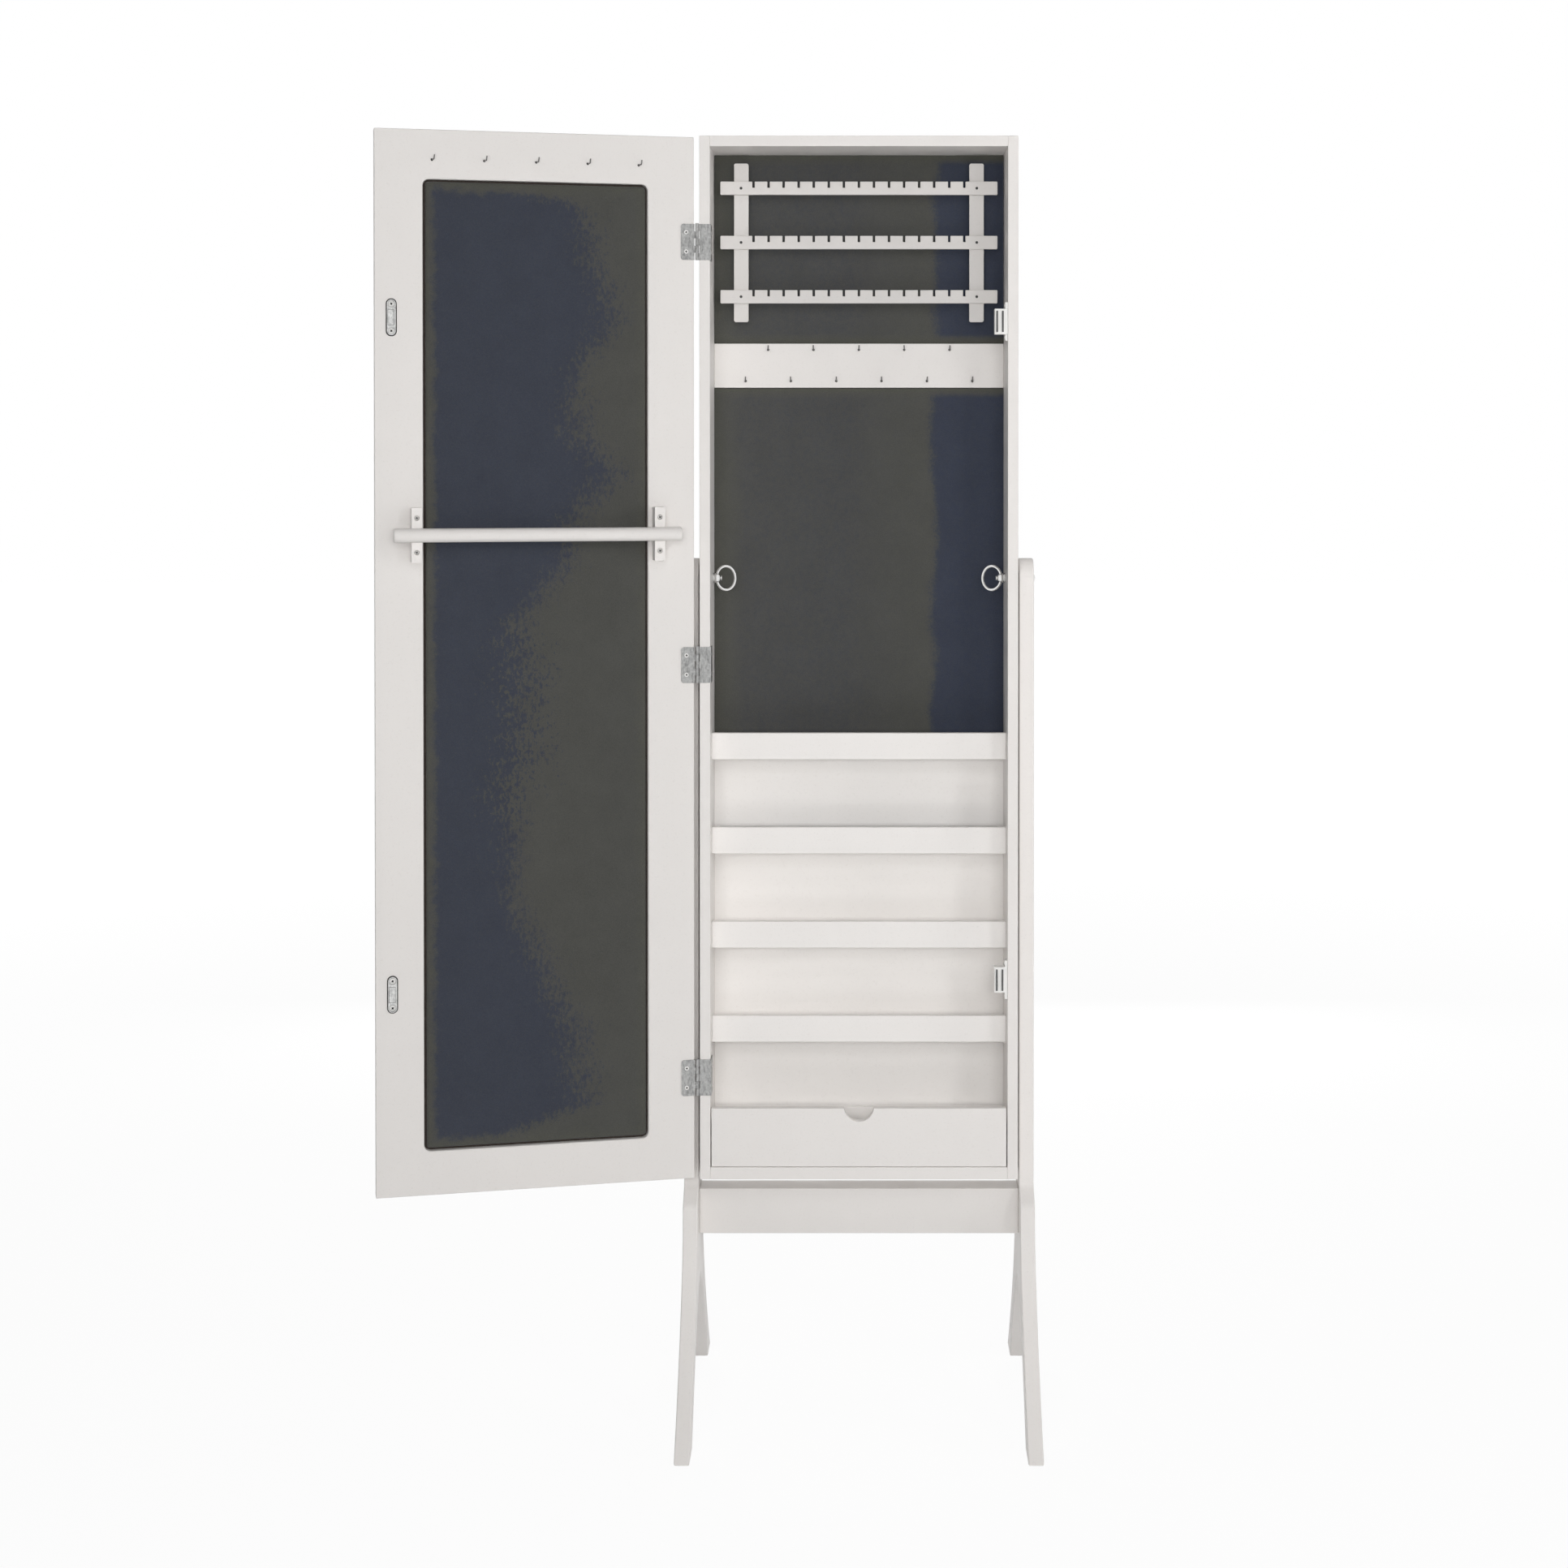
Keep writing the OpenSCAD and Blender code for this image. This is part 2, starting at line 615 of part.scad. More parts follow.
// round spacers hold the uprights off the velvet
module rack_spacers() {
  color("WhiteSmoke") for (s = [-1, 1], z = [rack_zs[0], rack_zs[2]]) difference() {
    rod_y(6, rack_y1, velvet_y, s * rack_post_x / 2, z + rack_bar_h / 2);
    rod_y(rack_shank_r, rack_y1 - 1, velvet_y + 1, s * rack_post_x / 2, z + rack_bar_h / 2);
  }
}

module rack_screws() {
  color("Silver") for (s = [-1, 1], i = [0 : 2])
    screw_y(s * rack_post_x / 2, rack_face, rack_zs[i] + rack_bar_h / 2, rack_head_r, rack_shank_r,
      (i == 1 ? rack_y1 : wall_d) - rack_face);
}

// shelves

module shelf(i) {
  color("WhiteSmoke") span([-in_w / 2, lip_set + lip_t, shelf_z[i]],
    [in_w / 2, shelf_back, shelf_z[i] + shelf_t]);
}

module lip(i) {
  color("WhiteSmoke") span([-in_w / 2, lip_set, shelf_z[i]],
    [in_w / 2, lip_set + lip_t, shelf_z[i] + lip_h]);
}

module shelf_1() { shelf(3); }
module shelf_2() { shelf(2); }
module shelf_3() { shelf(1); }
module shelf_4() { shelf(0); }
module lip_1() { lip(3); }
module lip_2() { lip(2); }
module lip_3() { lip(1); }
module lip_4() { lip(0); }

// velvet ring cushion behind the second lip: four soft rolls side by side
module ring_cushion() {
  y0 = lip_set + lip_t;
  z0 = shelf_z[2] + shelf_t;
  roll = (wall_d - y0) / 4;
  color("DarkSlateGray") union() {
    span([-in_w / 2 + 1, y0, z0], [in_w / 2 - 1, wall_d, z0 + cushion_h - roll / 2]);
    for (i = [0 : 3]) rod_x(roll / 2, -in_w / 2 + 1, in_w / 2 - 1, y0 + roll * (i + 0.5),
      z0 + cushion_h - roll / 2);
  }
}

// magnetic catches on the right wall, strike plates on the door

catch_deep = 15;                         // reach of a catch from the wall
catch_h = 29;                            // height of the catch's body
catch_front = 1;                         // catch behind the wall's front edge
catch_back = 14;
catch_ear_t = 3;
catch_screw = 18;                        // screws above and below a catch's middle
catch_ear_h = 2 * catch_screw + 8;
catch_y = (catch_front + catch_back) / 2;
pole_t = 1.6;                            // steel pole plates in the catch
pole_h = 24;
pole_xs = [in_w / 2 - catch_deep + 2, in_w / 2 - catch_deep / 2 + 1];
pole_back = catch_back - 3;
strike_t = 1.4;
strike_r = 6;
strike_screw = 15;                       // screws above and below a strike plate's middle
screw_bite = 9;                          // length of the short screws in the wood
plate_y = door_y1 + strike_t + clear;    // where the catch's steel plates start
strike_x = (pole_xs[0] + pole_xs[1] + pole_t) / 2 - 2.55;

module catch_body(z) {
  x1 = in_w / 2;
  difference() {
    union() {
      span([x1 - catch_deep, catch_front, z - catch_h / 2], [x1, catch_back, z + catch_h / 2]);
      span([x1 - catch_ear_t, catch_front + 1, z - catch_ear_h / 2],
        [x1, catch_back - 1, z + catch_ear_h / 2]);
    }
    for (x = pole_xs) span([x, -3, z - pole_h / 2], [x + pole_t, pole_back, z + pole_h / 2]);
    for (s = [-1, 1]) rod_x(1.3, x1 - catch_ear_t - 1, x1 + 1, catch_y, z + s * catch_screw);
  }
}

module catch_upper() { color("White") catch_body(catch_zs[1]); }
module catch_lower() { color("White") catch_body(catch_zs[0]); }

module catch_plates() {
  color("Silver") for (z = catch_zs, x = pole_xs)
    span([x, plate_y, z - pole_h / 2], [x + pole_t, pole_back, z + pole_h / 2]);
}

module catch_screws() {
  x1 = in_w / 2 - catch_ear_t;
  color("Silver") for (z = catch_zs, s = [-1, 1]) union() {
    rod_x(1.3, x1 - 0.2, in_w / 2 + board_t - 4, catch_y, z + s * catch_screw);
    rod_x(2.6, x1 - 1.4, x1, catch_y, z + s * catch_screw);
  }
}

// an oblong plate with a raised rib and a slotted screw at each end
module strike_plate(z) {
  translate([strike_x, door_y1 + strike_t, z]) union() {
    difference() {
      union() {
        translate([-strike_r, -strike_t, -strike_screw])
          cube([2 * strike_r, strike_t, 2 * strike_screw]);
        for (s = [-1, 1]) translate([0, -strike_t, s * strike_screw]) rotate([-90, 0, 0])
          cylinder(r = strike_r, h = strike_t);
        translate([-4, -strike_t, 6 - strike_screw]) cube([8, strike_t + 0.2, 2 * strike_screw - 12]);
      }
      for (s = [-1, 1]) translate([-3.2, -0.5, s * strike_screw - 0.4]) cube([6.4, 1, 0.8]);
    }
    for (s = [-1, 1]) rod_y(1.3, -strike_t - screw_bite, -strike_t, 0, s * strike_screw);
  }
}

module strike_plates() {
  color("Silver") opened() for (z = catch_zs) strike_plate(z);
}

// hinges

wall_screw_y = 13;                       // hinge screws behind the wall's front edge
wall_leaf_deep = wall_screw_y + 9;
leaf_screw = 11;                         // hinge screws above and below a hinge's middle
door_screw_x = door_x0 + 9;
door_leaf_end = door_screw_x + 6;
knuckles = 5;
knuckle_gap = 0.3;
knuckle_l = (hinge_l - (knuckles - 1) * knuckle_gap) / knuckles;
leaf_edge = 0.9;                         // leaf plates start this far outside the knuckle

module knuckle(i, zc) {
  z0 = zc - hinge_l / 2 + i * (knuckle_l + knuckle_gap);
  translate([axis_x, axis_y, z0]) difference() {
    union() {
      cylinder(r = knuckle_r, h = knuckle_l);
      children();
    }
    translate([0, 0, -1]) cylinder(r = pin_d / 2 + fit / 2, h = knuckle_l + 2);
  }
}

plate_x = axis_x + knuckle_r + leaf_edge;

// cabinet leaf: folded over the wall's front edge onto its inner face
module wall_leaf(zc) {
  tab_y = -leaf_t - axis_y;
  union() {
    for (i = [0, 2, 4]) knuckle(i, zc)
      translate([0, tab_y, 0]) cube([plate_x - axis_x + eps, leaf_t, knuckle_l]);
    span([plate_x, -leaf_t, zc - hinge_l / 2], [-in_w / 2 + leaf_t, 0, zc + hinge_l / 2]);
    difference() {
      span([-in_w / 2, -eps, zc - hinge_l / 2], [-in_w / 2 + leaf_t, wall_leaf_deep, zc + hinge_l / 2]);
      for (s = [-1, 1])
        rod_x(1.5, -in_w / 2 - 1, -in_w / 2 + 3, wall_screw_y, zc + s * leaf_screw);
    }
  }
}

module hinge_leaf_low() { color("DarkGray") wall_leaf(hinge_zs[0]); }
module hinge_leaf_middle() { color("DarkGray") wall_leaf(hinge_zs[1]); }
module hinge_leaf_high() { color("DarkGray") wall_leaf(hinge_zs[2]); }

module hinge_pins() {
  color("DarkGray") for (z = hinge_zs) union() {
    translate([axis_x, axis_y, z - hinge_l / 2]) cylinder(r = pin_d / 2, h = hinge_l + 0.3);
    translate([axis_x, axis_y, z + hinge_l / 2]) cylinder(r = knuckle_r - 0.2, h = 0.8);
  }
}

module hinge_wall_screws() {
  face = -in_w / 2 + leaf_t;
  color("Silver") for (z = hinge_zs, s = [-1, 1]) union() {
    rod_x(1.5, -cab_w / 2 + 4, face + 0.4, wall_screw_y, z + s * leaf_screw);
    rod_x(2.9, face, face + 1.1, wall_screw_y, z + s * leaf_screw);
  }
}

// door leaf: flat on the door's inner face, rounded at its far corners
module door_leaf(zc) {
  tab_y = door_y1 - axis_y;
  union() {
    for (i = [1, 3]) knuckle(i, zc)
      translate([0, tab_y, 0]) cube([plate_x - axis_x + eps, leaf_t, knuckle_l]);
    difference() {
      union() {
        span([plate_x, door_y1, zc - hinge_l / 2],
          [door_leaf_end - 4, door_y1 + leaf_t, zc + hinge_l / 2]);
        soft_plate(door_leaf_end - 11, door_leaf_end, zc - hinge_l / 2, zc + hinge_l / 2,
          door_y1, door_y1 + leaf_t, 3);
      }
      for (s = [-1, 1]) rod_y(1.5, door_y1 - 1, door_y1 + 3, door_screw_x, zc + s * leaf_screw);
    }
  }
}

module door_leaves() {
  color("DarkGray") opened() for (z = hinge_zs) door_leaf(z);
}

module door_leaf_screws() {
  face = door_y1 + leaf_t;
  color("Silver") opened() for (z = hinge_zs, s = [-1, 1]) union() {
    rod_y(1.5, door_y1 - screw_bite, face, door_screw_x, z + s * leaf_screw);
    rod_y(2.4, face, face + 0.3, door_screw_x, z + s * leaf_screw);
  }
}

// door

door_hook_xs = [for (i = [0 : door_hooks_n - 1]) door_x0 + door_hook_end + i * door_hook_pitch];
door_hook_drop = 33.5;                   // hooks below the door's top
door_hook_z = door_z1 - door_hook_drop;
bracket_off_hinge = 11;                  // brackets' middles outside the velvet's opening
bracket_off_free = 8;
bracket_xs = [door_x0 + stile_w - bracket_off_hinge, door_x1 - stile_w + bracket_off_free];
bracket_screw = bracket_h / 2 - 11.5;    // screws above and below the bar
bracket_y = door_y1 + bar_off - 1.5;     // face of a bracket
bracket_sink = 1.5;                      // screw heads sit this deep in the face

module door_frame() {
  color("WhiteSmoke") opened() difference() {
    span([door_x0, door_y0, door_z0], [door_x1, door_y1, door_z1]);
    soft_plate(door_x0 + stile_w, door_x1 - stile_w, open_z0, open_z1,
      door_y0 + mirror_lip, door_y1 + 1, open_r);
    soft_plate(door_x0 + stile_w + lip_in, door_x1 - stile_w - lip_in, open_z0 + lip_in,
      open_z1 - lip_in, door_y0 - 1, door_y0 + mirror_lip + 1, open_r - 2);
    for (x = door_hook_xs) rod_y(hook_wire, door_y1 - hook_bite, door_y1 + 1, x, door_hook_z);
    for (x = bracket_xs, s = [-1, 1])
      rod_y(1.6, door_y1 - screw_bite - 1, door_y1 + 1, x, bar_z + s * bracket_screw);
    for (z = catch_zs, s = [-1, 1])
      rod_y(1.3, door_y1 - screw_bite, door_y1 + 1, strike_x, z + s * strike_screw);
    for (z = hinge_zs, s = [-1, 1])
      rod_y(1.5, door_y1 - screw_bite, door_y1 + 1, door_screw_x, z + s * leaf_screw);
  }
}

module door_fill(y0, y1, gap) {
  opened() soft_plate(door_x0 + stile_w + gap, door_x1 - stile_w - gap, open_z0 + gap,
    open_z1 - gap, y0, y1, open_r);
}

glass_y = door_y0 + mirror_lip + glass_t;

module mirror_glass() { color("LightSteelBlue") door_fill(door_y0 + mirror_lip, glass_y, 0.5); }
module mirror_backing() { color("SaddleBrown") door_fill(glass_y, glass_y + backing_t, 0.2); }

module door_pad() {
  color("DarkSlateGray") opened() padded_panel(door_x0 + stile_w + pad_gap, door_x1 - stile_w - pad_gap,
    open_z0 + pad_gap, open_z1 - pad_gap, open_r - pad_gap, glass_y + backing_t, door_y1 - pad_rim,
    pad_edge, pad_crown);
}

module door_hooks() {
  color("Silver") opened() for (x = door_hook_xs)
    translate([x, door_y1, door_hook_z]) rotate([0, 0, 180]) small_hook();
}

module scarf_bar() {
  color("WhiteSmoke") opened() rod_x(bar_d / 2, door_x0 + bar_in_hinge, door_x1 - bar_in_free,
    door_y1 + bar_off, bar_z);
}

// blocks with a round seat in the front for the bar
module bar_brackets() {
  color("WhiteSmoke") opened() for (x = bracket_xs) difference() {
    soft_plate(x - bracket_w / 2, x + bracket_w / 2, bar_z - bracket_h / 2, bar_z + bracket_h / 2,
      door_y1, bracket_y, 1.5);
    rod_x(bar_d / 2, x - bracket_w, x + bracket_w, door_y1 + bar_off, bar_z);
    for (s = [-1, 1]) {
      rod_y(1.6, door_y1 - 1, bracket_y + 1, x, bar_z + s * bracket_screw);
      rod_y(3, bracket_y - bracket_sink, bracket_y + 1, x, bar_z + s * bracket_screw);
    }
  }
}

module bracket_screws() {
  seat = bracket_y - bracket_sink;
  color("Silver") opened() for (x = bracket_xs, s = [-1, 1]) union() {
    rod_y(1.6, door_y1 - screw_bite - 1, seat, x, bar_z + s * bracket_screw);
    rod_y(2.9, seat, seat + 1.3, x, bar_z + s * bracket_screw);
  }
}

// bottom tray

module tray_front() {
  color("WhiteSmoke") difference() {
    span([-tray_w / 2, tray_y0, tray_z0], [tray_w / 2, tray_y0 + tray_face_t, tray_z0 + tray_h]);
    rod_y(tray_notch_r, tray_y0 - 1, tray_y0 + tray_face_t + 1, 0, tray_z0 + tray_h + tray_notch_up);
  }
}

// two sides and a back, glued behind the front
module tray_walls() {
  y0 = tray_y0 + tray_face_t;
  color("WhiteSmoke") union() {
    for (s = [-1, 1]) translate([s > 0 ? tray_w / 2 - tray_side_t : -tray_w / 2, y0, tray_z0])
      cube([tray_side_t, tray_back_y - y0, tray_side_h]);
    span([-tray_w / 2 + tray_side_t - eps, tray_back_y - tray_side_t, tray_z0],
      [tray_w / 2 - tray_side_t + eps, tray_back_y, tray_z0 + tray_side_h]);
  }
}

module tray_base() {
  color("DarkSlateGray") span([-tray_w / 2 + tray_side_t, tray_y0 + tray_face_t, tray_z0],
    [tray_w / 2 - tray_side_t, tray_back_y - tray_side_t, tray_z0 + 3]);
}

// which pieces are drawn

side_frame_left();
side_frame_right();
bottom_rail();
rail_bolts();
barrel_nuts();
rail_dowels();
pivot_caps();
spacer_washers();
thumb_bolt_left();
thumb_bolt_right();
wall_left();
wall_right();
top_board();
bottom_board();
back_panel();
upper_velvet();
lower_velvet();
hook_board();
necklace_hooks();
rack_upright_left();
rack_upright_right();
rack_bar_top();
rack_bar_middle();
rack_bar_bottom();
rack_spacers();
rack_screws();
shelf_1();
shelf_2();
shelf_3();
shelf_4();
lip_1();
lip_2();
lip_3();
lip_4();
ring_cushion();
catch_upper();
catch_lower();
catch_plates();
catch_screws();
hinge_leaf_low();
hinge_leaf_middle();
hinge_leaf_high();
hinge_pins();
hinge_wall_screws();
tray_front();
tray_walls();
tray_base();
door_frame();
mirror_glass();
mirror_backing();
door_pad();
door_hooks();
scarf_bar();
bar_brackets();
bracket_screws();
strike_plates();
door_leaves();
door_leaf_screws();
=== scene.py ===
import json
import math

import bmesh
import bpy
from mathutils import Matrix, Vector


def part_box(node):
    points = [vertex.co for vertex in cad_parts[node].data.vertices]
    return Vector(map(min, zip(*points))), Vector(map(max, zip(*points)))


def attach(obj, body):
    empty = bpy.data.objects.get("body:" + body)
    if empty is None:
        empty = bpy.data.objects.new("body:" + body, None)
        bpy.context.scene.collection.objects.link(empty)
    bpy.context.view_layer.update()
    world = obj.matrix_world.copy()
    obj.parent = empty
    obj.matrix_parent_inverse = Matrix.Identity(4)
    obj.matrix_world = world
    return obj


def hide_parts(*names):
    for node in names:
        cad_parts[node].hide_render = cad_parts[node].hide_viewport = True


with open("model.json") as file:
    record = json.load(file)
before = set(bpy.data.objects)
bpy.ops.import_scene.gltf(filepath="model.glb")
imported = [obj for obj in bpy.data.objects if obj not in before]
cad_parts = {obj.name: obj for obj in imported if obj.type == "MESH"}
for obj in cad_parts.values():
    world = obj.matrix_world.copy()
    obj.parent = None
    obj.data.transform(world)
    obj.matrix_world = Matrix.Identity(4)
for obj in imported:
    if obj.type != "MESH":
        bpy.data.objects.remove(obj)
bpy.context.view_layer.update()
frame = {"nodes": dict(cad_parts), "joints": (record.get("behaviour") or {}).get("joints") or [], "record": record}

MM = 0.001

# The camera that gives the photograph's view: its place, how far it looks down in degrees, its
# lens on a 36 mm film and the shift of that lens.
EYE = Vector((0.0, -2.8197, 1.086))
EYE_DOWN = 0.6
LENS = 56.88
SHIFT = (-0.04777, -0.18710)

# The hinge line, the turns between the shut and the open door, and the tilt's pivot.
JOINTS = {joint["name"]: joint for joint in frame["joints"]}
HINGE_LINE = Vector(JOINTS["door_swing"]["pos_m"])
DOOR_REST = math.radians(JOINTS["door_swing"]["range_deg"][0])
SWING_OPEN = (Matrix.Translation(HINGE_LINE) @ Matrix.Rotation(DOOR_REST, 4, "Z")
              @ Matrix.Translation(-HINGE_LINE))
SWING_SHUT = SWING_OPEN.inverted()
PIVOT = Vector(JOINTS["cabinet_tilt"]["pos_m"])

# The body that each CAD node belongs to.
BODY_OF = {node: body for body, nodes in frame["record"]["behaviour"]["bodies"].items()
           for node in nodes}
# Edges that bend more than this are sharp.
SHARP = math.radians(35)


# Tools of the bench

def pick(piece):
    """Selects this piece alone."""
    bpy.ops.object.select_all(action="DESELECT")
    piece.select_set(True)
    bpy.context.view_layer.objects.active = piece


def edit(piece, kind, test):
    """Opens the piece in edit mode with only the parts selected that pass the test."""
    pick(piece)
    bpy.ops.object.mode_set(mode="EDIT")
    bpy.ops.mesh.select_mode(type=kind)
    bpy.ops.mesh.select_all(action="DESELECT")
    mesh = bmesh.from_edit_mesh(piece.data)
    parts = {"VERT": mesh.verts, "EDGE": mesh.edges, "FACE": mesh.faces}[kind]
    for part in parts:
        if test(part):
            part.select_set(True)
    mesh.select_flush_mode()
    bmesh.update_edit_mesh(piece.data)


def done():
    """Goes back to object mode."""
    bpy.ops.object.mode_set(mode="OBJECT")


def any_part(part):
    """The test that every part passes."""
    return True


def node_copy(node, name):
    """A piece with the CAD node's shape, its flat faces made whole again."""
    piece = bpy.data.objects.new(name, frame["nodes"][node].data.copy())
    bpy.context.scene.collection.objects.link(piece)
    pick(piece)
    bpy.ops.mesh.customdata_custom_splitnormals_clear()
    edit(piece, "VERT", any_part)
    bpy.ops.mesh.remove_doubles(threshold=0.01 * MM)
    bpy.ops.mesh.dissolve_limited(angle_limit=math.radians(0.1))
    done()
    return piece


def ease(piece, width, steps=2, least=1.3 * MM, where=any_part):
    """Rounds the sharp edges over, as sanding and paint do. Shorter edges than least stay crisp."""
    def sharp(edge):
        return (len(edge.link_faces) == 2 and edge.calc_face_angle(0) > SHARP
                and edge.calc_length() > least and where(edge))
    edit(piece, "EDGE", sharp)
    bpy.ops.mesh.bevel(offset=width, segments=steps, affect="EDGES", clamp_overlap=False)
    done()


def even_shading(piece):
    """Smooth shading that leaves the large flat faces flat."""
    pick(piece)
    bpy.ops.object.shade_smooth_by_angle(angle=SHARP)
    weigh = piece.modifiers.new("flat faces lead", "WEIGHTED_NORMAL")
    weigh.keep_sharp = True
    bpy.ops.object.modifier_apply(modifier=weigh.name)


def place(piece, matrix):
    """Moves the mesh itself, so the object stays at the origin."""
    piece.data.transform(matrix)
    piece.data.update()


def settle(piece):
    """Applies what an operator left on the object to its mesh."""
    pick(piece)
    bpy.ops.object.transform_apply(location=True, rotation=True, scale=True)


def copies(piece, name, matrices):
    """One piece made of a copy of the model at each place; the model itself goes."""
    made = []
    for matrix in matrices:
        copy = bpy.data.objects.new(name, piece.data.copy())
        bpy.context.scene.collection.objects.link(copy)
        place(copy, matrix)
        made.append(copy)
    bpy.data.objects.remove(piece)
    return joined(made, name)


def joined(parts, name):
    """Joins several meshes into one piece."""
    bpy.context.view_layer.update()
    bpy.ops.object.select_all(action="DESELECT")
    for part in parts:
        part.select_set(True)
    bpy.context.view_layer.objects.active = parts[0]
    if len(parts) > 1:
        bpy.ops.object.join()
    parts[0].name = name
    return parts[0]


def turned(name, rings, sides=40):
    """A turned piece along +Z from (height, radius) pairs, closed at both ends."""
    height, radius = rings[0]
    bpy.ops.mesh.primitive_circle_add(vertices=sides, radius=radius, fill_type="NGON",
                                      location=(0, 0, height))
    piece = bpy.context.object
    piece.name = name
    settle(piece)
    bpy.ops.object.mode_set(mode="EDIT")
    bpy.ops.mesh.select_mode(type="FACE")
    bpy.ops.mesh.select_all(action="SELECT")
    for next_height, next_radius in rings[1:]:
        bpy.ops.mesh.extrude_region_move(
            TRANSFORM_OT_translate={"value": (0, 0, next_height - height)})
        grow = next_radius / radius
        bpy.ops.transform.resize(value=(grow, grow, 1), center_override=(0, 0, next_height))
        height, radius = next_height, next_radius
    bpy.ops.mesh.select_all(action="SELECT")
    bpy.ops.mesh.normals_make_consistent(inside=False)
    done()
    return piece


def block(name, low, high):
    """A rectangular blank between two corners."""
    middle = (Vector(low) + Vector(high)) / 2
    bpy.ops.mesh.primitive_cube_add(size=1, location=middle)
    piece = bpy.context.object
    piece.name = name
    piece.scale = Vector(high) - Vector(low)
    settle(piece)
    return piece


def wire(name, points, radius, closed=False, smooth=4, sides=3):
    """A bent wire led by the points, as a mesh."""
    line = bpy.data.curves.new(name, "CURVE")
    line.dimensions = "3D"
    line.bevel_depth = radius
    line.bevel_resolution = sides
    line.resolution_u = smooth
    line.use_fill_caps = True
    bend = line.splines.new("NURBS")
    bend.points.add(len(points) - 1)
    for point, spot in zip(bend.points, points):
        point.co = (*spot, 1)
    bend.order_u = 3
    bend.use_cyclic_u = closed
    bend.use_endpoint_u = not closed
    piece = bpy.data.objects.new(name, line)
    bpy.context.scene.collection.objects.link(piece)
    pick(piece)
    bpy.ops.object.convert(target="MESH")
    edit(piece, "VERT", any_part)
    bpy.ops.mesh.remove_doubles(threshold=0.005 * MM)
    bpy.ops.mesh.normals_make_consistent(inside=False)
    done()
    return piece


def merge(piece, other, kind="UNION"):
    """Makes one solid of the two, or with DIFFERENCE takes the other's shape out of the piece."""
    pick(piece)
    joint = piece.modifiers.new("joint", "BOOLEAN")
    joint.operation = kind
    joint.solver = "EXACT"
    joint.object = other
    bpy.ops.object.modifier_apply(modifier=joint.name)
    bpy.data.objects.remove(other)
    return piece


def cut(piece, tool):
    """Takes the tool's shape out of the piece."""
    return merge(piece, tool, "DIFFERENCE")


def darken(piece, test, main=None):
    """Gives the faces that pass the test a dark second finish: painted shade where shadow falls, in recesses and
    along edges.

    The main finish is screw steel where no other is named.
    """
    piece.data.materials.clear()
    piece.data.materials.append(main or SCREW_STEEL)
    piece.data.materials.append(PAINTED_SHADE_GREY)
    for face in piece.data.polygons:
        face.material_index = 1 if test(face) else 0


def finish_piece(piece, material, slot, *nodes, body=None):
    """Paints the piece, hangs it on its body and lets it stand for its CAD nodes.

    The material takes the first place. A piece with further finishes keeps those.
    """
    if len(piece.data.materials) >= 2:
        piece.data.materials[0] = material
    else:
        piece.data.materials.clear()
        piece.data.materials.append(material)
    even_shading(piece)
    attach(piece, body or BODY_OF[nodes[0]])
    if nodes:
        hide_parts(*nodes)
    return piece


def box_around(spots):
    """Lowest and highest corner of some points."""
    return (Vector([min(spot[i] for spot in spots) for i in range(3)]),
            Vector([max(spot[i] for spot in spots) for i in range(3)]))


def shut_box(node):
    """Lowest and highest corner of a door node with the door shut."""
    return box_around([SWING_SHUT @ vert.co for vert in frame["nodes"][node].data.vertices])


# Patterns and finishes

def feed(tree, socket, value):
    """Gives a socket its value, which is another socket or a constant."""
    if isinstance(value, bpy.types.NodeSocket):
        tree.links.new(value, socket)
    else:
        socket.default_value = value


def pattern(tree, scale, detail=2.0, rough=0.5, stretch=(1, 1, 1)):
    """A cloudy pattern fixed to the object. scale counts its cells along a metre."""
    coords = tree.nodes.new("ShaderNodeTexCoord")
    spread = tree.nodes.new("ShaderNodeMapping")
    spread.inputs["Scale"].default_value = stretch
    clouds = tree.nodes.new("ShaderNodeTexNoise")
    clouds.inputs["Scale"].default_value = scale
    clouds.inputs["Detail"].default_value = detail
    clouds.inputs["Roughness"].default_value = rough
    tree.links.new(coords.outputs["Object"], spread.inputs["Vector"])
    tree.links.new(spread.outputs["Vector"], clouds.inputs["Vector"])
    return clouds.outputs["Fac"]


def level(tree, value, low, high, start=0.0, end=1.0):
    """Maps a value's range from start to end onto low to high."""
    span = tree.nodes.new("ShaderNodeMapRange")
    span.inputs["From Min"].default_value = start
    span.inputs["From Max"].default_value = end
    span.inputs["To Min"].default_value = low
    span.inputs["To Max"].default_value = high
    tree.links.new(value, span.inputs["Value"])
    return span.outputs["Result"]


def graded(tree, value, stops):
    """Colours a value by (place, colour) stops in rising order."""
    ramp = tree.nodes.new("ShaderNodeValToRGB")
    elements = ramp.color_ramp.elements
    for spot, colour in stops[1:-1]:
        elements.new(spot)
    for element, (spot, colour) in zip(elements, stops):
        element.position = spot
        element.color = (*colour, 1)
    tree.links.new(value, ramp.inputs["Fac"])
    return ramp.outputs["Color"]


def tint(tree, value, first, second, start=0.0, end=1.0):
    """Colours a value from first at start to second at end."""
    return graded(tree, value, [(start, first), (end, second)])


def curve(tree, value, stops):
    """Follows straight lines through (place, height) stops in rising order."""
    return graded(tree, value, [(spot, (height,) * 3) for spot, height in stops])


def blend_tones(tree, share, first, second, kind="MIX"):
    """Mixes two colours by a share."""
    mix = tree.nodes.new("ShaderNodeMix")
    mix.data_type = "RGBA"
    mix.blend_type = kind
    for key, value in (("Factor", share), ("A", first), ("B", second)):
        feed(tree, [socket for socket in mix.inputs if socket.name == key and socket.enabled][0], value)
    return [socket for socket in mix.outputs if socket.enabled][0]


